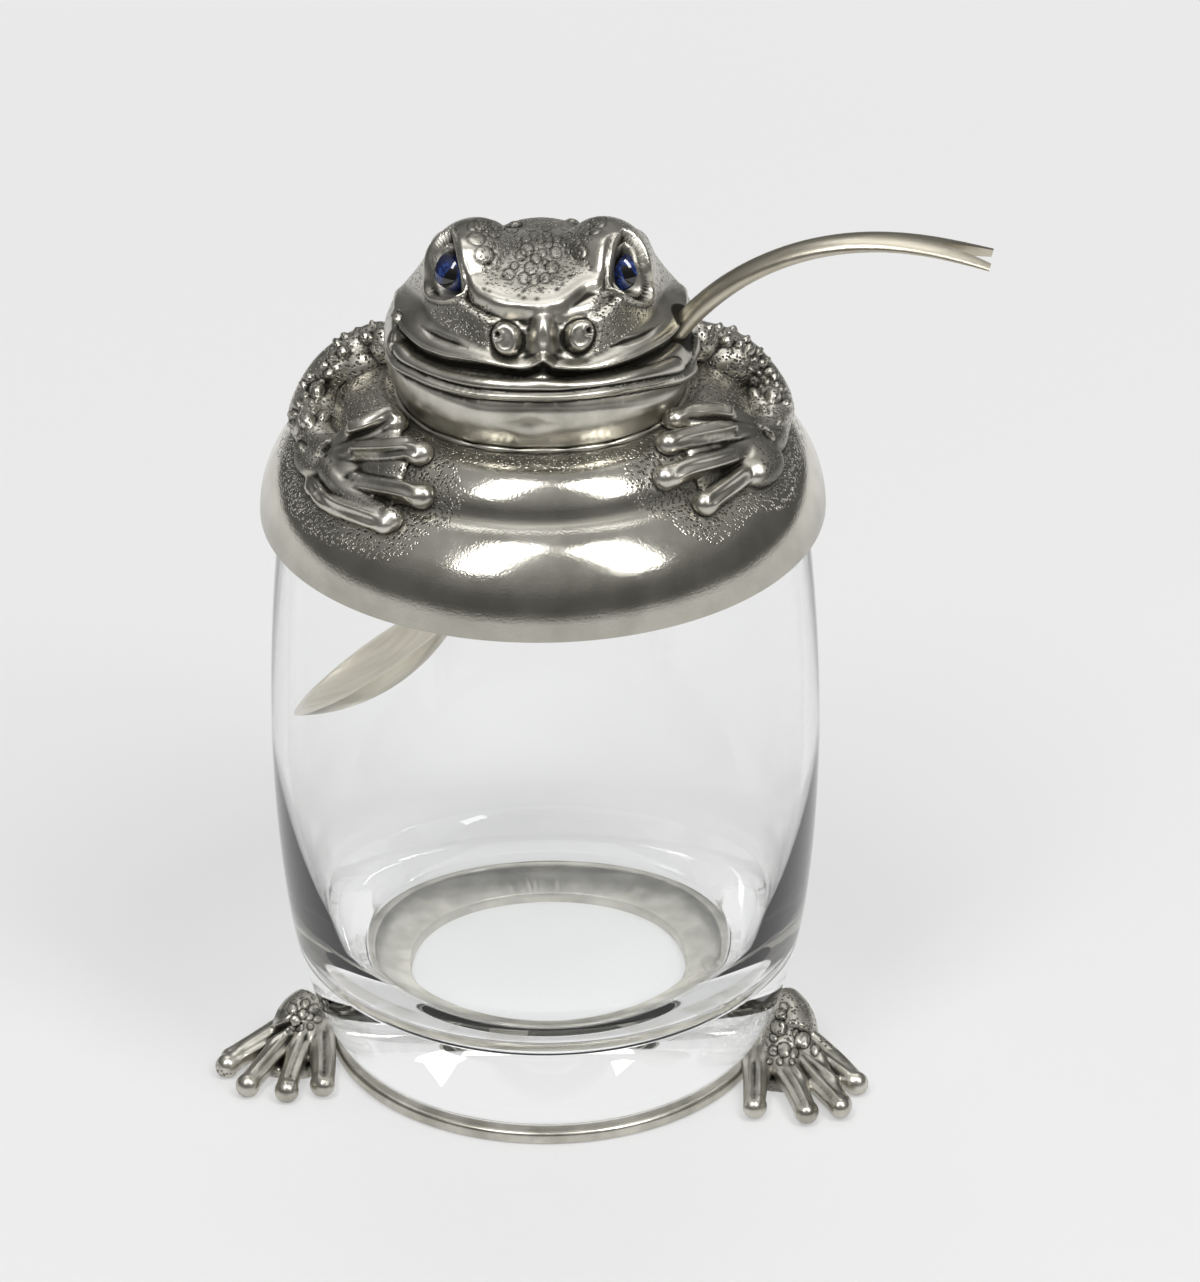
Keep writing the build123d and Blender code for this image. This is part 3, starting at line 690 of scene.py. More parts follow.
# The forehead shield, the sockets, the nostrils and the lips, as outlines and paths in the front view
face = {
    "shield": [
        (-13.9, 134.2), (-13.4, 131), (-12.8, 127.3), (-12.0, 124.5), (-11.1, 121.9), (-9.2, 120.5),
        (-7.2, 119.5), (-4.8, 118.9), (-1.2, 118.6), (1.7, 118.8), (3.9, 119.5), (5.7, 120.7),
        (7.6, 122.1), (9.9, 122.9), (10.8, 125.9), (11.1, 128.3), (11.6, 130.7), (13.2, 133.4), (8, 142),
        (-8, 142)],
    "sockets": [
        [(-14.1, 133.0), (-15.6, 132.2), (-17.0, 130.8), (-17.9, 129.2), (-18.3, 127.0), (-18.3, 124.5),
         (-18.0, 122.5), (-16.6, 121.6), (-14.8, 121.4), (-13.2, 121.8), (-12.0, 122.9), (-12.4, 125.3),
         (-12.9, 128.1), (-13.4, 130.7)],
        [(13.4, 132.7), (15.0, 132.0), (16.4, 130.3), (17.2, 128.3), (17.6, 125.9), (18.0, 123.0),
         (17.6, 121.2), (16.4, 120.8), (14.6, 121.3), (12.6, 122.5), (11.2, 123.3), (11.2, 125.9),
         (11.5, 128.3), (12.1, 130.7)]],
    "openings": [
        [(-15.2, 131.0), (-16.7, 129.7), (-17.4, 127.4), (-17.5, 125.1), (-16.8, 123.1), (-15.2, 122.4),
         (-13.2, 122.8), (-12.8, 124.9), (-13.5, 128.1), (-14.3, 130.7)],
        [(14.2, 131.1), (15.5, 129.7), (16.2, 127.5), (16.7, 125.1), (16.8, 122.8), (15.0, 122.7),
         (13.2, 123.7), (12.0, 125.1), (11.9, 127.1), (12.4, 129.3)]],
    "nostrils": [(-5.4, 114.9), (6.4, 115.4)],
    "nostrilHoles": [(-6.6, 115.7), (7.6, 116.2)],
    "upperLip": [
        (-27, 124), (-24.6, 120.8), (-22.7, 118.1), (-21.9, 116.7), (-20.6, 115.1), (-18.5, 113.5),
        (-15.3, 112.2), (-12.1, 111.6), (-7.9, 110.9), (-4.9, 110.3), (-2.2, 110.2), (-0.5, 110.8),
        (0.5, 111.3), (1.5, 110.7), (2.6, 110.1), (6.0, 109.9), (10.0, 110.2), (14.1, 111.4),
        (17.1, 112.8), (20.1, 114.6), (21.8, 116.4), (23.2, 118.8), (24.9, 121.6), (27.5, 125)],
    "innerLip": [
        (-22.9, 113.7), (-21.6, 111.7), (-18.9, 110.1), (-15.9, 108.8), (-10.9, 107.7), (-4.9, 107.1),
        (2.4, 106.9), (5.0, 107.0), (9.0, 107.6), (14.1, 108.6), (18.1, 109.4), (21.7, 110.6)],
    "lowerLip": [
        (-22.3, 118.6), (-23.5, 116.9), (-24.0, 115.1), (-23.8, 112.7), (-22.4, 110.9), (-20.0, 109.5),
        (-17.0, 108.2), (-13.7, 107.1), (-9.9, 106.3), (-4.9, 105.9), (2.4, 105.7), (6.0, 106.0),
        (10.0, 106.4), (14.0, 107.0), (18.1, 107.8), (22.1, 108.7), (24.4, 110.1), (25.6, 112.5),
        (25.5, 115.3)],
    "chinGroove": [
        (-21.4, 109.3), (-17.0, 107.0), (-13.7, 105.6), (-8.9, 104.2), (-2.9, 103.9), (2.3, 103.9),
        (6.0, 103.9), (10.0, 104.3), (15.0, 104.8), (19.1, 105.8), (22.5, 107.1), (24.7, 108.9)],
    "chinDip": [(-6.0, 101.2), (-4.1, 101.0), (-0.9, 100.9), (2.3, 101.0)],
    # centre and radius of the ringed warts on the forehead
    "warts": [
        (-10.3, 131.1, 1.4), (-9.3, 128.3, 1.4), (-10.8, 133.7, 1.0), (-9.5, 134.1, 1.2),
        (-8.7, 132.3, 0.7), (-7.5, 132.1, 0.9), (-2.1, 128.8, 1.2), (-3.1, 127.8, 1.0),
        (-1.4, 125.6, 1.1), (-0.6, 127.2, 0.9), (0.4, 128.1, 0.8), (-4.9, 124.6, 1.0), (-2.5, 123.9, 1.0),
        (-0.9, 123.7, 1.0), (0.9, 123.9, 0.9), (2.0, 125.7, 1.1), (2.7, 128.2, 1.1), (7.0, 128.6, 1.3),
        (6.1, 130.4, 1.2), (9.0, 132.6, 1.0), (9.6, 134.4, 1.3), (7.6, 132.3, 0.8), (3.0, 130.9, 0.9),
        (1.4, 129.7, 0.8), (0.2, 130.6, 0.7), (1.2, 132.2, 0.8), (-0.9, 132.3, 0.8), (-2.3, 130.9, 0.9),
        (-3.9, 131.3, 0.7), (4.8, 131.8, 0.8), (4.4, 130.0, 0.7), (-1.4, 134.0, 0.9), (1.0, 133.9, 0.7),
        (-4.7, 133.7, 1.1), (-6.6, 134.3, 1.3), (4.2, 134.4, 1.0), (-3.6, 129.7, 0.6), (-4.1, 126.0, 0.7),
        (0.9, 126.6, 0.5), (5.0, 128.6, 0.6)],
    # strokes: path, radius, height, and where it differs the shape and how far the ends taper
    "muzzle": [
        ([(-2.1, 117.5), (-2.5, 113.0)], 1.7, -0.8),
        ([(-3.5, 118.0), (-8.0, 119.4), (-11.6, 121.6)], 1.8, -0.9),
        ([(3.1, 117.5), (3.5, 113.0)], 1.7, -0.8),
        ([(4.5, 118.0), (9.0, 119.4), (11.6, 121.6)], 1.8, -0.9)],
    "bridge": [
        ([(0.5, 117.4), (0.5, 114.7), (0.5, 111.6)], 2.2, 1.0),
        ([(0.5, 116.6), (0.5, 114.8), (0.5, 113.0)], 0.8, -0.35, "soft", 0.45)],
    "cheekFolds": [
        ([(-11.5, 113.6), (-16.0, 115.3), (-18.8, 117.2)], 0.9, -0.55, "soft", 0.35),
        ([(11.5, 113.6), (16.0, 115.3), (18.8, 117.2)], 0.9, -0.55, "soft", 0.35)],
}


# Carving of the face. A row of three is a ridge, groove or band of painted shade: its height or darkness,
# its place and its width, across the outline or path it follows
carving = {
    "shieldRise": 1.4, "shieldRim": (0.15, 0.9, 0.9), "shieldTop": (129, 5),
    "socketRim": (0.7, 0, 0.42), "socketSink": 1.1, "socketDepth": 2.7, "socketShadeLine": (0.75, 0.65, 0.3),
    "openingRim": (0.3, -0.3, 0.28), "fluteHeight": 0.09, "flutes": 70,
    "nostrilHalf": (2.3, 2.9), "nostrilRise": 1.25, "nostrilMoat": (-0.45, 1.1, 0.16),
    "nostrilRing": (0.25, 0.72, 0.16), "nostrilShadeLine": (0.55, 1.12, 0.12),
    "holeRim": (0.3, 0.75, 0.28), "holeDip": (-0.8, 0, 0.42), "holeDark": 0.45,
    "lipRise": 1.35, "lipEdge": (0.3, 0.25, 0.35), "lipGap": (-1.3, -1.0, 0.75),
    "lipShade": (0.7, -0.9, 0.5), "lipMiddle": 0.4, "corners": (24.4, 1.6),
    # the upper lip's swelling: places beside the middle, and its width there
    "lipWidths": ([0, 6, 10, 15, 20, 23], [1.6, 1.9, 2.8, 4.2, 5.0, 4.4]),
    "lowerLipShade": (0.6, 0, 0.35), "lowerLipShift": 0.95,
    # strokes of the mouth: path, shift upwards, radius, height, shape and taper
    "mouth": [
        ("innerLip", 0, 1.45, 1.15, "round", 0), ("lowerLip", 0.85, 0.6, -0.5, "soft", 0),
        ("lowerLip", 0, 0.8, 0.95, "round", 0), ("chinGroove", 0, 1.2, -0.3, "soft", 0),
        ("chinDip", 0, 2.2, -0.4, "soft", 0.5)],
}


def carveShield(clay):
    # a raised plate with a crisp lower edge that runs out over the brows, and its bare rim
    top, reach = carving["shieldTop"]
    fade = 1 - smoothStep((clay.flat[:, 1] - top) / reach)
    inside = insideOutline(clay.flat, closedPath(face["shield"]))
    clay.raiseBy(carving["shieldRise"] * smoothStep((inside + 0.5) / 1.3) * fade)
    clay.ridge(inside, carving["shieldRim"], fade)
    return inside, smoothStep(inside / 0.6 + 0.5)


def carveSockets(clay, shield):
    # sunk inside a thin raised rim, with the lid's fluted band sloping in to the eye, painted shade in the
    # opening and a painted shade line inside the rim
    for outline, opening in zip(face["sockets"], face["openings"]):
        outline = closedPath(outline)
        sunk = insideOutline(clay.flat, outline)
        hole = insideOutline(clay.flat, closedPath(opening))
        clay.ridge(sunk, carving["socketRim"], 1 - 0.6 * shield)
        clay.raiseBy(-carving["socketSink"] * smoothStep(sunk / 0.9))
        clay.raiseBy(-carving["socketDepth"] * smoothStep(hole / 0.8 + 0.2))
        clay.ridge(hole, carving["openingRim"])
        band = smoothStep(sunk / 0.5) * smoothStep(-hole / 0.3)
        across, up = (clay.flat - np.mean(outline, axis=0)).T
        clay.raiseBy(carving["fluteHeight"] * band * np.sin(carving["flutes"] * np.arctan2(up, across)))
        # painted shade inside the eye's opening, then a painted shade line along the inside of the rim
        clay.darken(smoothStep(hole / 0.8 + 0.3) * clay.open)
        clay.shadeBand(sunk, carving["socketShadeLine"])


def carveNostrils(clay):
    for centre, holeAt in zip(face["nostrils"], face["nostrilHoles"]):
        lean = 0.30 * centre[0] / 6
        turned = (clay.flat - centre) @ np.array([[0.95, lean], [-lean, 0.95]])
        gap = np.hypot(*(turned / carving["nostrilHalf"]).T)
        clay.ridge(gap, carving["nostrilMoat"])
        clay.raiseBy(carving["nostrilRise"] * smoothStep((1.12 - gap) / 0.55))
        clay.ridge(gap, carving["nostrilRing"])
        # a painted shade line round the nostril
        clay.shadeBand(gap, carving["nostrilShadeLine"])
        hole = clay.awayFrom(holeAt)
        clay.ridge(hole, carving["holeRim"])
        clay.ridge(hole, carving["holeDip"])
        # painted shade in the nostril's hole
        clay.darken(bell(hole, 0, carving["holeDark"]))


def carveLips(clay):
    # a rolled swelling over the sharp edge of the upper lip, a roll in the mouth under a band of painted
    # shade, and the thin lower lip, which turns round both corners, with painted shade above it
    x, v = clay.flat.T
    upper = smoothPath(face["upperLip"], 5)
    above = pathDistance(clay.flat, upper)[0] * np.sign(v - np.interp(x, *upper.T))
    corner, reach = carving["corners"]
    ends = smoothStep((corner - np.abs(x)) / reach)
    width = np.interp(np.abs(x - carving["lipMiddle"]), *carving["lipWidths"])
    lip = smoothStep((above + 0.25) / 0.6) * smoothStep((width - above) / (0.75 * width))
    clay.raiseBy(carving["lipRise"] * lip * ends)
    clay.ridge(above, carving["lipEdge"], ends)
    clay.ridge(above, carving["lipGap"], ends)
    clay.shadeBand(above, carving["lipShade"], ends)
    for stroke in face["cheekFolds"]:
        clay.stroke(*stroke)
    for name, shift, *values in carving["mouth"]:
        clay.stroke(np.array(face[name]) + (0, shift), *values)
    lower = smoothPath(face["lowerLip"], 5) + (0, carving["lowerLipShift"])
    clay.shadeBand(pathDistance(clay.flat, lower)[0], carving["lowerLipShade"])
    return above, width


def carveWarts(clay, inside, shield, beyondLip):
    for x, v, radius in face["warts"]:
        clay.wart((x, v), radius, head["wartHeight"], head["ringDepth"])
    # pitted cheeks, forehead and nape, a darker shield middle, painted shade inside the spoon's hole, and
    # the dark seam line at the foot
    aside = smoothStep((np.abs(clay.flat[:, 0] - 0.5) - 7.5) / 2)
    cheek = (1 - shield) * smoothStep(beyondLip / 1.2) * aside
    for opening in face["openings"]:
        cheek *= smoothStep(-insideOutline(clay.flat, opening) / 2 - 0.3)
    middle = shield * smoothStep((inside - 2.0) / 2)
    clay.pitted = np.maximum(cheek, 0.55 * middle)
    clay.pitted = np.maximum(clay.pitted, 0.7 * smoothStep((clay.points[:, 1] + 5) / 14))
    clay.darken(0.3 * middle)
    mouth, (amount, place, width) = head["mouthHole"], head["seam"]
    fromHole = clay.points - mouth["through"]
    fromAxis = fromHole - np.outer(fromHole @ mouth["way"], mouth["way"])
    # painted shade inside the spoon's hole
    clay.darken(smoothStep((mouth["radius"] + 0.35 - np.linalg.norm(fromAxis, axis=1)) / 0.5))
    clay.darken(amount * bell(clay.points[:, 2], place, width))
    # pits between the forehead's warts
    pits, scatter = head["pits"], np.random.default_rng(11)
    for _ in range(pits["count"]):
        gap = clay.awayFrom((scatter.uniform(*pits["x"]), scatter.uniform(*pits["v"])))
        hollow = bell(gap, 0, scatter.uniform(*pits["radius"])) * smoothStep(inside - 0.6)
        clay.raiseBy(-pits["depth"] * hollow)
        clay.darken(pits["darkness"] * hollow * clay.open)
    # small warts over the back of the head
    warts, scatter = head["backWarts"], np.random.default_rng(7)
    for _ in range(warts["count"]):
        spot = np.array(Vector([scatter.uniform(*limits) for limits in warts["box"]]))
        share = np.linalg.norm(clay.points - spot, axis=1) / scatter.uniform(*warts["radius"])
        clay.points += clay.normals * (warts["height"] * np.sqrt(np.clip(1 - share ** 2, 0, 1)))[:, None]


def makeHead():
    piece = blockHead()
    clay = Clay(piece)
    print("head blocked out:", len(clay.points), "points")
    clay.open *= 1 - smoothStep((clay.points[:, 1] - 4) / 6)
    for stroke in face["muzzle"]:
        clay.stroke(*stroke)
    inside, shield = carveShield(clay)
    carveSockets(clay, shield)
    carveNostrils(clay)
    for stroke in face["bridge"]:
        clay.stroke(*stroke)
    above, width = carveLips(clay)
    carveWarts(clay, inside, shield, above - width)
    clay.finish(head["deepest"])
    dress(piece, pewter, "lid")
    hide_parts("toad_head")
    return piece


beads = {"count": 236, "perBead": 6, "round": 8, "reach": 0.52, "swell": 0.3, "height": 126.3, "out": 0.6}


def makeBeadRow():
    # a row of small beads along the seam between the head and the lid
    deselect()
    bpy.ops.mesh.primitive_torus_add(major_segments=beads["count"] * beads["perBead"],
                                     minor_segments=beads["round"], major_radius=2 * mm, minor_radius=mm)
    row = bpy.context.object
    points = readPoints(row)
    angle = np.arctan2(points[:, 1], points[:, 0])
    out, rise = np.hypot(points[:, 0], points[:, 1]) - 2, points[:, 2]
    size = beads["reach"] - beads["swell"] * (1 - np.abs(np.cos(angle * beads["count"] / 2)))
    _, halfWidth, front, rear = head["rows"][1]
    x, y = superOutline(angle, halfWidth, front, rear, head["power"])
    away = 1 + (beads["out"] + out * size) / np.hypot(x, y)
    writePoints(row, np.stack([x * away, y * away, beads["height"] + rise * size], 1))
    bpy.ops.object.shade_smooth()
    row.name = "seamBeads"
    row.data.name = "seamBeads"
    dress(row, pewter, "lid")
    return row


toadHead = makeHead()
seamBeads = makeBeadRow()
print("head sculpted:", len(toadHead.data.polygons), "faces")


# Arms and hind feet: the castings are softened, thickened where the photograph shows flesh,
# then given warts, ridged fingers and shiny tips
arms = {
    "foreleg_right": {
        "balls": [
            ((-35.5, -11.0, 117.6), (5.2, 6.0, 3.4)), ((-37.0, 3.0, 119.6), (4.6, 7.0, 3.6)),
            ((-30.5, 8.5, 124.2), (5.4, 4.6, 4.2))],
        "fingers": [
            [(-32.3, 99.6), (-28.2, 100.8), (-24.5, 102.6), (-23.5, 101.3)],
            [(-32.3, 97.1), (-26.2, 97.1), (-21.3, 97.3), (-19.7, 96.0)],
            [(-32.7, 93.3), (-27.5, 92.0), (-22.6, 91.0), (-19.6, 89.9)],
            [(-38.2, 92.7), (-34.8, 88.8), (-30.0, 86.8), (-24.9, 85.0)]],
        "warts": [
            (-25.5, 120.9, 1.2), (-31.0, 119.1, 1.2), (-29.0, 116.6, 1.2), (-32.7, 114.2, 1.2),
            (-26.9, 117.4, 0.6), (-29.8, 120.3, 0.8), (-28.1, 119.3, 0.6), (-24.0, 121.1, 0.7),
            (-33.9, 115.9, 0.8), (-32.7, 117.1, 0.7), (-31.5, 115.4, 0.5), (-34.6, 113.0, 0.9),
            (-36.0, 112.0, 0.8), (-38.5, 110.1, 1.0), (-39.5, 108.9, 0.8), (-35.2, 110.5, 0.9),
            (-37.1, 107.9, 1.5), (-36.4, 109.3, 0.7), (-40.2, 105.4, 0.9), (-37.9, 105.8, 0.6),
            (-38.6, 102.7, 1.5), (-35.9, 103.5, 1.1), (-41.0, 103.8, 0.9), (-41.2, 102.3, 0.7),
            (-39.8, 100.1, 0.6), (-39.6, 98.2, 1.1), (-37.5, 104.6, 0.5), (-39.1, 107.1, 0.7),
            (-34.0, 111.3, 0.5), (-36.9, 106.2, 0.5)],
    },
    "foreleg_left": {
        "balls": [
            ((34.5, -14.5, 118.0), (5.2, 6.5, 3.4)), ((37.2, 1.0, 119.4), (4.6, 7.0, 3.6)),
            ((31.5, 8.0, 124.4), (5.4, 4.6, 4.2))],
        "fingers": [
            [(32.3, 101.9), (28.4, 102.5), (24.2, 102.3), (22.2, 101.5)],
            [(33.0, 100.3), (29.1, 99.7), (24.2, 98.7), (20.7, 97.6)],
            [(32.9, 97.0), (28.4, 95.4), (23.8, 94.2), (20.9, 92.6)],
            [(34.2, 93.6), (31.3, 91.4), (28.3, 89.3), (26.8, 88.0)]],
        "warts": [
            (32.1, 118.3, 1.4), (30.7, 115.5, 1.1), (32.9, 114.9, 0.9), (29.4, 117.9, 0.8),
            (34.4, 114.2, 1.1), (36.0, 113.9, 0.8), (37.8, 110.5, 0.9), (38.6, 109.7, 0.7),
            (35.1, 108.9, 0.9), (35.1, 106.8, 1.0), (36.6, 111.9, 0.8), (38.2, 106.3, 1.4),
            (39.7, 107.6, 0.8), (40.5, 105.1, 0.8), (39.2, 102.0, 0.9), (37.3, 108.9, 0.5),
            (38.9, 108.3, 0.6), (34.7, 110.7, 0.5), (36.3, 107.9, 0.5), (28.1, 117.9, 0.6),
            (33.7, 112.9, 0.7), (35.3, 112.5, 0.5), (37.5, 112.6, 0.5), (36.0, 110.2, 0.5),
            (34.1, 104.0, 0.5), (36.6, 104.2, 0.7), (37.8, 103.4, 0.5), (31.1, 117.0, 0.5),
            (34.0, 116.0, 0.7)],
    },
}
feet = {
    "hind_foot_right": {
        "balls": [((-42.6, -7.5, 4.0), (4.6, 5.0, 3.2))],
        "fingers": [
            [(-42.5, 2.5), (-48.0, -1.0), (-54.4, -4.7)],
            [(-42.1, 1.5), (-46.4, -3.5), (-51.1, -8.6)],
            [(-40.8, 0.7), (-43.0, -4.4), (-44.7, -9.5)],
            [(-38.7, -0.2), (-38.3, -4.4), (-38.3, -9.1)]],
        "warts": [
            (-43.4, 1.6, 1.0), (-42.1, 2.7, 0.9), (-41.0, 2.3, 0.8), (-42.6, 0.4, 0.7), (-40.3, 3.5, 0.9),
            (-44.0, 3.6, 0.9), (-41.7, 4.4, 0.8), (-39.6, 1.8, 0.7), (-40.8, 0.6, 0.6), (-43.9, 0.3, 0.4)],
    },
    "hind_foot_left": {
        "balls": [((40.6, -11.0, 3.8), (4.6, 6.0, 3.2))],
        "fingers": [
            [(34.9, -4.9), (34.9, -9.2), (34.7, -13.0)],
            [(39.2, -6.2), (41.7, -10.1), (43.5, -13.9)],
            [(41.7, -5.0), (45.1, -8.8), (49.3, -13.1)],
            [(43.8, -3.7), (48.0, -6.7), (51.8, -9.3)]],
        "warts": [
            (39.3, -0.1, 1.4), (40.1, -3.7, 1.2), (43.3, -2.2, 1.4), (39.7, 2.0, 1.0), (38.3, -3.9, 0.8),
            (41.8, -4.3, 0.8), (41.4, -5.6, 0.6), (39.3, -5.6, 0.6), (37.6, -5.6, 0.5), (45.4, -3.8, 0.8),
            (42.3, -1.0, 0.6), (38.4, -1.8, 0.7), (40.3, 3.3, 0.8)],
    },
}
limbs = {
    # voxel size, rise of the tips, height of a wart of 1 mm, depth of its ring
    "arm": {"voxel": 0.33, "tipRise": 0.05, "wartHeight": 0.8, "ringDepth": 0, "body": "lid"},
    "foot": {"voxel": 0.27, "tipRise": 0.125, "wartHeight": 0.35, "ringDepth": 0.2, "body": "jar"},
    "smoothing": 7, "deepest": 0.5,
    # a value at the root and how it changes towards the tip
    "webShares": (0.0, 0.2, 0.4, 0.58), "webReach": (0.5, 0.62), "webLift": 0.1, "webThickness": 0.95,
    "fingerShares": (0.28, 1.0, 14), "fingerHalf": (1.25, 0.65), "fingerLift": (1.9, -0.7),
    "fingerThickness": 1.5,
    "toeShares": (0.0, 1.0, 16), "toeHalf": (2.0, -0.15), "toeLift": (1.05, -0.9),
    # two fine ridges with a groove between: shift to the side, radius and height
    "ridges": ((0.9, 0.55, 0.3), (-0.9, 0.55, 0.25), (0, 0.6, -0.2)), "taper": 0.15, "tipRadius": 2.2,
}


def copyNode(name, newName):
    # a merged copy of a node's mesh, with the node left as it is
    makeActive(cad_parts[name])
    bpy.ops.object.duplicate()
    copy = bpy.context.object
    copy.name = newName
    copy.data.name = newName
    bpy.ops.object.mode_set(mode="EDIT")
    bpy.ops.mesh.select_all(action="SELECT")
    bpy.ops.mesh.remove_doubles(threshold=weldGap)
    bpy.ops.mesh.normals_make_consistent(inside=False)
    bpy.ops.object.mode_set(mode="OBJECT")
    return copy


def onDome(x, v):
    # the point of the lid's surface that the front view shows at x, v, and the way it faces
    y = np.linspace(-47, -2, 900)
    z = domeHeight(np.hypot(x, y))
    y = float(np.interp(v, y * math.sin(slope) + z * math.cos(slope), y))
    step = 0.2
    slopeX = float(domeHeight(math.hypot(x + step, y)) - domeHeight(math.hypot(x - step, y))) / (2 * step)
    slopeY = float(domeHeight(math.hypot(x, y + step)) - domeHeight(math.hypot(x, y - step))) / (2 * step)
    return Vector((x, y, float(domeHeight(math.hypot(x, y))))), Vector((-slopeX, -slopeY, 1)).normalized()


def alongPath(path, share):
    path = np.asarray(path, float)
    lengths = np.concatenate([[0], np.cumsum(np.hypot(*np.diff(path, axis=0).T))])
    return np.array([np.interp(share * lengths[-1], lengths, column) for column in path.T])


def flatBall(spot, lift, radii):
    # a ball lying on the lid where the front view shows the spot
    place, facing = onDome(*spot)
    turn = [math.degrees(angle) for angle in facing.to_track_quat("Z", "Y").to_euler()]
    return addBall(place + facing * lift, radii, turn)


def fingerWebs(fingers):
    # thin skin between neighbouring fingers, laid on the lid
    webs = []
    for first, second in zip(fingers, fingers[1:]):
        for share in limbs["webShares"]:
            a, b = alongPath(first, share), alongPath(second, share)
            half = limbs["webReach"][1] * float(np.hypot(*(a - b))) + limbs["webReach"][0]
            webs.append(flatBall((a + b) / 2, limbs["webLift"], (half, half, limbs["webThickness"])))
    return webs


def flaredFingers(fingers):
    # each finger widens towards a flat rounded tip
    (half, more), (lift, rise) = limbs["fingerHalf"], limbs["fingerLift"]
    lobes = []
    for path in fingers:
        for share in np.linspace(*limbs["fingerShares"]):
            reach = half + more * share ** 2
            radii = (reach, reach, limbs["fingerThickness"])
            lobes.append(flatBall(alongPath(path, share), lift + rise * share, radii))
    return lobes


def fullToes(toes):
    # each toe is a thick round cone that comes down to the table
    (half, more), (lift, rise) = limbs["toeHalf"], limbs["toeLift"]
    lobes = []
    for path in toes:
        for share in np.linspace(*limbs["toeShares"]):
            radius = half + more * share
            x, v = alongPath(path, share)
            z = radius + lift + rise * share
            lobes.append(addBall((x, (v - z * math.cos(slope)) / math.sin(slope), z), (radius,) * 3))
    return lobes


def sculptLimb(node, name, spec, kind):
    limb, body = limbs[kind], limbs[kind]["body"]
    form = [copyNode(node, name)] + [addBall(place, radii) for place, radii in spec["balls"]]
    if kind == "arm":
        form += fingerWebs(spec["fingers"]) + flaredFingers(spec["fingers"])
    else:
        form += fullToes(spec["fingers"])
    piece = joinPieces(form, name)
    remesh(piece, limb["voxel"], limbs["smoothing"])
    clay = Clay(piece)
    reach = np.full(len(clay.points), 9.0)
    for path in spec["fingers"]:
        # ridges, and a fuller, polished tip
        path = np.array(path, float)
        along = path[-1] - path[0]
        side = np.array([-along[1], along[0]]) / np.hypot(*along)
        line = path.copy()
        line[-1] = line[-1] * 0.8 + line[-2] * 0.2
        for shift, radius, height in limbs["ridges"]:
            clay.stroke(line + side * shift, radius, height, taper=limbs["taper"])
        tip = clay.awayFrom(path[-1])
        clay.raiseBy(limb["tipRise"] * np.sqrt(np.clip(1 - (tip / limbs["tipRadius"]) ** 2, 0, 1)))
        reach = np.minimum(reach, pathDistance(clay.flat, path)[0])
    for x, v, radius in spec["warts"]:
        clay.wart((x, v), radius, limb["wartHeight"] * radius, limb["ringDepth"])
    clay.pitted = smoothStep(reach - 1.9) * 0.9
    # painted shade in the webs between the fingers' roots
    away = np.min([clay.awayFrom(alongPath(path, 0.05)) for path in spec["fingers"]], axis=0)
    web = smoothStep((reach - 1.5) / 0.7) * smoothStep((9 - away) / 3) * smoothStep((away - 1) / 2)
    clay.darken(0.6 * web * (clay.flat[:, 1] < alongPath(spec["fingers"][0], 0)[1] + 1))
    # the feet stand flat on the table
    clay.points[:, 2] = np.maximum(clay.points[:, 2], 0)
    clay.finish(limbs["deepest"])
    dress(piece, pewter, body)
    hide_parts(node)
    print(name, "sculpted:", len(piece.data.polygons), "faces")
    return piece


def shadeLid(castings):
    # painted shade on the lid along its castings and in the crease, a painted dark reflection low on its
    # flank, darker at the head's foot and on the stippled sides, and pitted round the castings
    castPoints = np.vstack([readPoints(piece) for piece in castings])
    tree = kdtree.KDTree(len(castPoints))
    for index, point in enumerate(castPoints):
        tree.insert(point, index)
    tree.balance()
    points = readPoints(lidDome)
    away = np.array([tree.find(point)[2] if point[2] > 108 else 50.0 for point in points])
    radius = np.hypot(points[:, 0], points[:, 1])
    fromFront = np.degrees(np.abs(np.arctan2(points[:, 0], -points[:, 1])))
    headFoot = bell(radius, 26.1, 0.6)
    crease = bell(radius, 36.1, 0.8) * (points[:, 2] > 116)
    flank = smoothStep((111 - points[:, 2]) / 7)
    beside = smoothStep((fromFront - 24) / 30) * smoothStep((38.5 - radius) / 4)
    under = smoothStep((31 - radius) / 4)
    # painted shade along the castings and in the crease, and a painted dark reflection on the lower flank
    patinaAndShade = [0.85 * bell(away, 0, 0.9), 0.8 * headFoot, 0.25 * beside, 0.3 * flank, 0.8 * crease]
    pitted = [beside, 0.75 * under, smoothStep((5.5 - away) / 4)]
    writeShading(lidDome, np.max(patinaAndShade, axis=0), np.max(pitted, axis=0))


armPieces = [sculptLimb(node, name, arms[node], "arm")
             for node, name in (("foreleg_right", "rightArm"), ("foreleg_left", "leftArm"))]
shadeLid(armPieces)
print("lid surface shaded")
for node, name in (("hind_foot_right", "rightHindFoot"), ("hind_foot_left", "leftHindFoot")):
    sculptLimb(node, name, feet[node], "foot")

# Eyes: glossy blue glass with a slanting black pupil
eye = {"place": (14.4, -7.2, 149.1), "turn": 50.0, "tilt": 6.0, "back": 2.24, "gaze": (24.0, 12.0),
       "pupil": (1.05, 2.3), "pupilLean": 22.0, "iris": 3.0, "fleckScale": 1600,
       "blue": (0.012, 0.035, 0.19), "deep": (0.003, 0.006, 0.04), "fleck": (0.05, 0.12, 0.36),
       "black": (0.002, 0.002, 0.003), "roughness": 0.06, "coatRoughness": 0.02}


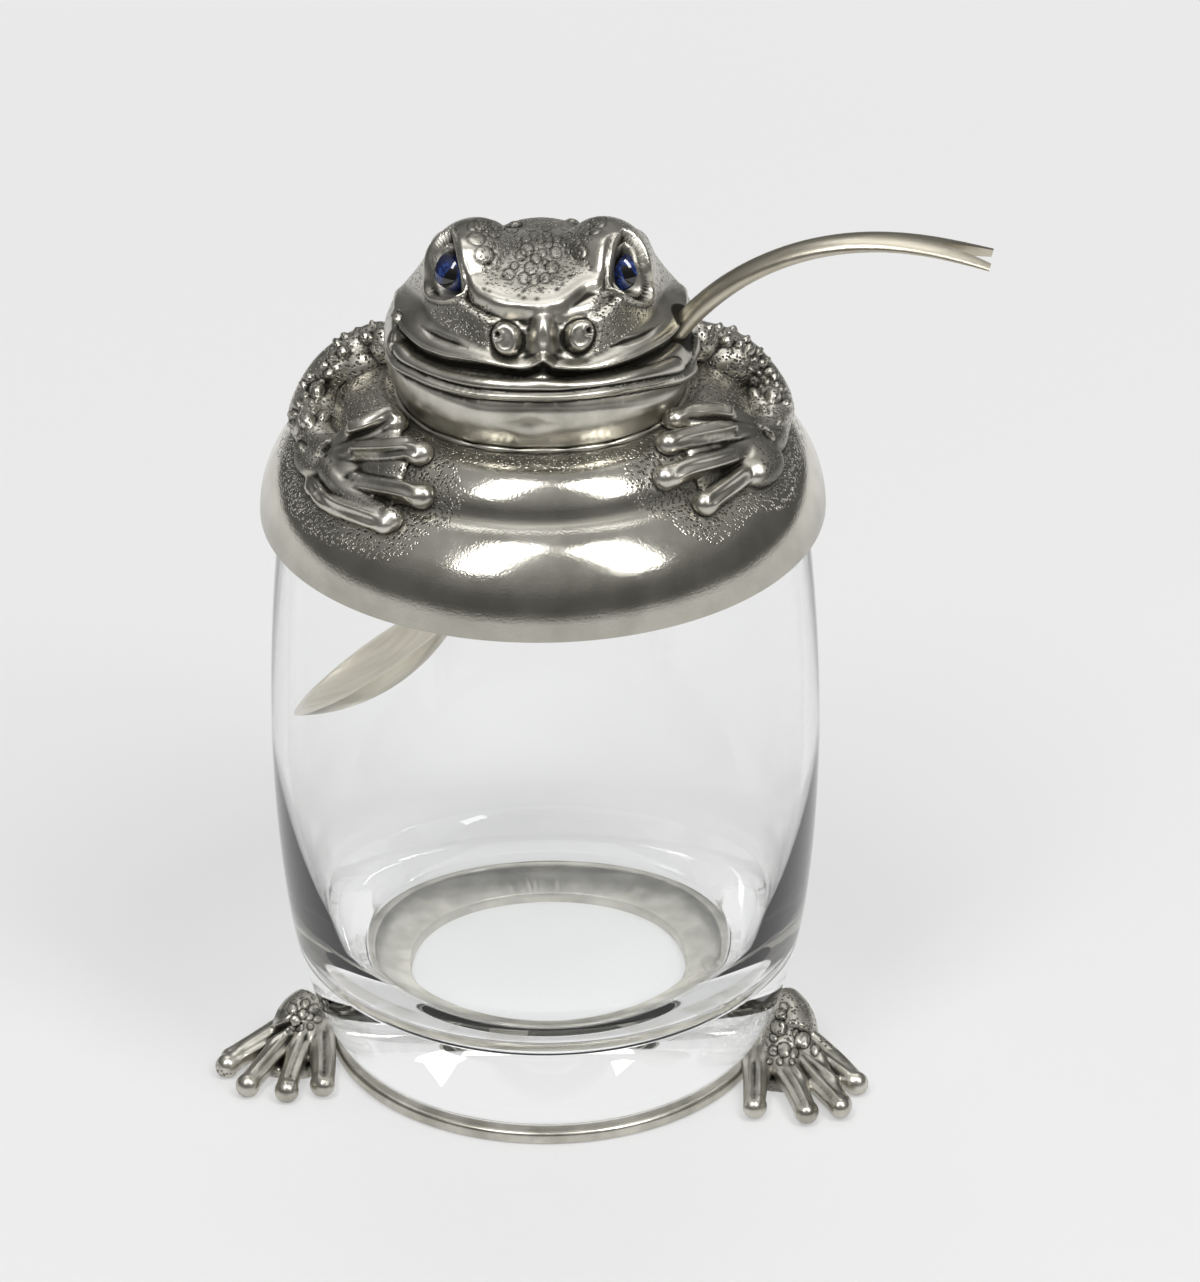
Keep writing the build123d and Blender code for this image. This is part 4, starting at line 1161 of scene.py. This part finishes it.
def blueEye(name, side):
    def direction(turn, tilt):
        turn, tilt = math.radians(turn), math.radians(tilt)
        level = math.cos(tilt)
        return Vector((side * math.sin(turn) * level, -math.cos(turn) * level, math.sin(tilt)))

    lean = math.radians(eye["pupilLean"])
    gaze = direction(*eye["gaze"])
    across = Vector((0, 0, 1)).cross(gaze).normalized()
    upward = gaze.cross(across)
    slant = upward * math.cos(lean) - across * math.sin(lean) * side
    level = across * math.cos(lean) + upward * math.sin(lean) * side
    x, y, z = eye["place"]
    centre = (Vector((side * x, y, z)) - direction(eye["turn"], eye["tilt"]) * eye["back"]) * mm
    material, paint = startMaterial(name)
    place = paint.add("ShaderNodeTexCoord").outputs["Object"]
    spot = paint.add("ShaderNodeVectorMath", operation="SUBTRACT")
    paint.put(place, spot.inputs[0])
    paint.put(centre, spot.inputs[1])

    def ellipse(*axes):
        # distance from the gaze's line, 1 on the ellipse with these axes and half widths
        squares = []
        for axis, half in axes:
            dot = paint.add("ShaderNodeVectorMath", operation="DOT_PRODUCT")
            paint.put(spot.outputs[0], dot.inputs[0])
            paint.put(axis / (half * mm), dot.inputs[1])
            squares.append(paint.maths("MULTIPLY", dot.outputs["Value"], dot.outputs["Value"]))
        return paint.maths("SQRT", paint.maths("ADD", *squares))

    pupil = ellipse((level, eye["pupil"][0]), (slant, eye["pupil"][1]))
    reach = ellipse((across, eye["iris"]), (upward, eye["iris"]))
    fleck = paint.noise(place, eye["fleckScale"], 5)
    iris = paint.ramp(fleck, [(0.35, eye["deep"]), (0.52, eye["blue"]), (0.72, eye["fleck"])])
    iris = paint.mix(paint.ramp(reach, [(0.75, black), (1.0, white)]), iris, eye["deep"])
    hole = paint.ramp(pupil, [(0.85, white), (1.05, black)])
    paint.surface({"Base Color": paint.mix(hole, iris, eye["black"]), "Roughness": eye["roughness"],
                   "Coat Weight": 1.0, "Coat Roughness": eye["coatRoughness"]})
    return material


# Nodes that keep the shape of their solids
for name, material in (("lid_locating_ring", pewter), ("spoon", gold),
                       ("eye_left", blueEye("blueEyeLeft", 1)),
                       ("eye_right", blueEye("blueEyeRight", -1))):
    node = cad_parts[name]
    node.data.materials.clear()
    node.data.materials.append(material)

# Floor, lamps, world and camera
studio = {
    "floorSize": 2.4, "floorColour": (0.42, 0.42, 0.42), "floorRoughness": 0.9, "floorShine": 0.1,
    # brightness of the floor from the middle to the edge
    "floorGlow": ((0.0, 0.41), (0.3, 0.47), (1.0, 0.67)),
    "lamps": (
        # azimuth from the front towards +X, elevation, distance in metres, size, power
        ("softboxLeft", -33, 63, 1.25, (0.22, 0.80), 6.0),
        ("softboxRight", 47, 57, 1.25, (0.26, 0.80), 7.0),
        ("overheadFill", 180, 62, 1.6, (0.9, 0.9), 4.0)),
    "aim": (0, 0, 0.075),
    # the world by height, what the camera and the glass see of it, and the metal's share of that
    "sky": ((0.0, (0.045, 0.045, 0.03825)), (0.35, (0.063, 0.063, 0.05625)), (0.9, (0.36, 0.36, 0.36))),
    "background": (0.86, 0.86, 0.86), "metalShare": 0.08,
}


def seenFrom(paint, metalShare):
    # 1 for what the camera and the glass see, and a share of it for the metal
    paths = paint.add("ShaderNodeLightPath").outputs
    seen = paint.maths("MAXIMUM", paths["Is Camera Ray"], paths["Is Transmission Ray"])
    return paint.maths("MAXIMUM", seen, paint.maths("MULTIPLY", paths["Is Glossy Ray"], metalShare))


deselect()
bpy.ops.mesh.primitive_plane_add(size=studio["floorSize"])
floor = bpy.context.object
floor.name = "floor"
floorMaterial, paint = startMaterial("paleFloor")
# the pale background that the camera, metal and glass see; the floor keeps its shadow
reach = paint.add("ShaderNodeVectorMath", operation="LENGTH")
paint.put(paint.add("ShaderNodeTexCoord").outputs["Object"], reach.inputs[0])
share = paint.maths("DIVIDE", reach.outputs["Value"], studio["floorSize"] / 2)
glow = paint.ramp(share, [(place, (value,) * 3) for place, value in studio["floorGlow"]])
paint.surface({"Base Color": studio["floorColour"], "Roughness": studio["floorRoughness"],
               "Specular IOR Level": studio["floorShine"], "Emission Strength": 1.0,
               "Emission Color": paint.mix(seenFrom(paint, 1.0), black, glow)})
floor.data.materials.append(floorMaterial)

for name, azimuth, elevation, distance, size, power in studio["lamps"]:
    a, e = math.radians(azimuth), math.radians(elevation)
    way = Vector((math.sin(a) * math.cos(e), -math.cos(a) * math.cos(e), math.sin(e)))
    deselect()
    bpy.ops.object.light_add(type="AREA", location=Vector(studio["aim"]) + way * distance)
    lamp = bpy.context.object
    lamp.name = name
    lamp.data.shape = "RECTANGLE"
    lamp.data.size, lamp.data.size_y = size
    lamp.data.energy = power
    lamp.rotation_euler = way.to_track_quat("Z", "Y").to_euler()
    lamp.visible_camera = False

world = bpy.data.worlds.new("studio")
scene.world = world
world.use_nodes = True
paint = Shading(world.node_tree)
split = paint.add("ShaderNodeSeparateXYZ")
paint.put(paint.add("ShaderNodeTexCoord").outputs["Generated"], split.inputs[0])
sky = paint.ramp(split.outputs["Z"], studio["sky"])
seen = seenFrom(paint, studio["metalShare"])
paint.put(paint.mix(seen, sky, studio["background"]), paint.nodes["Background"].inputs["Color"])

# Camera at the photograph's angle, from the fit of the lid rim, the ring and the glass
view = {"elevation": 29.733, "roll": -0.46, "distance": 1300.0, "target": (9.285, 0.0, 76.215),
        "lens": 217.4, "sensor": 36.0, "clip": (0.05, 20.0)}
e, r = math.radians(view["elevation"]), math.radians(view["roll"])
back = Vector((0, -math.cos(e), math.sin(e)))
right = Vector((1, 0, 0))
up = back.cross(right)
columns = (right * math.cos(r) + up * math.sin(r), up * math.cos(r) - right * math.sin(r), back,
           (Vector(view["target"]) + back * view["distance"]) * mm)
deselect()
bpy.ops.object.camera_add()
camera = bpy.context.object
camera.matrix_world = Matrix([[column[row] for column in columns] for row in range(3)] + [(0, 0, 0, 1)])
camera.data.lens = view["lens"]
camera.data.sensor_width = view["sensor"]
camera.data.clip_start, camera.data.clip_end = view["clip"]
scene.camera = camera
print("stage, lamps and camera placed")
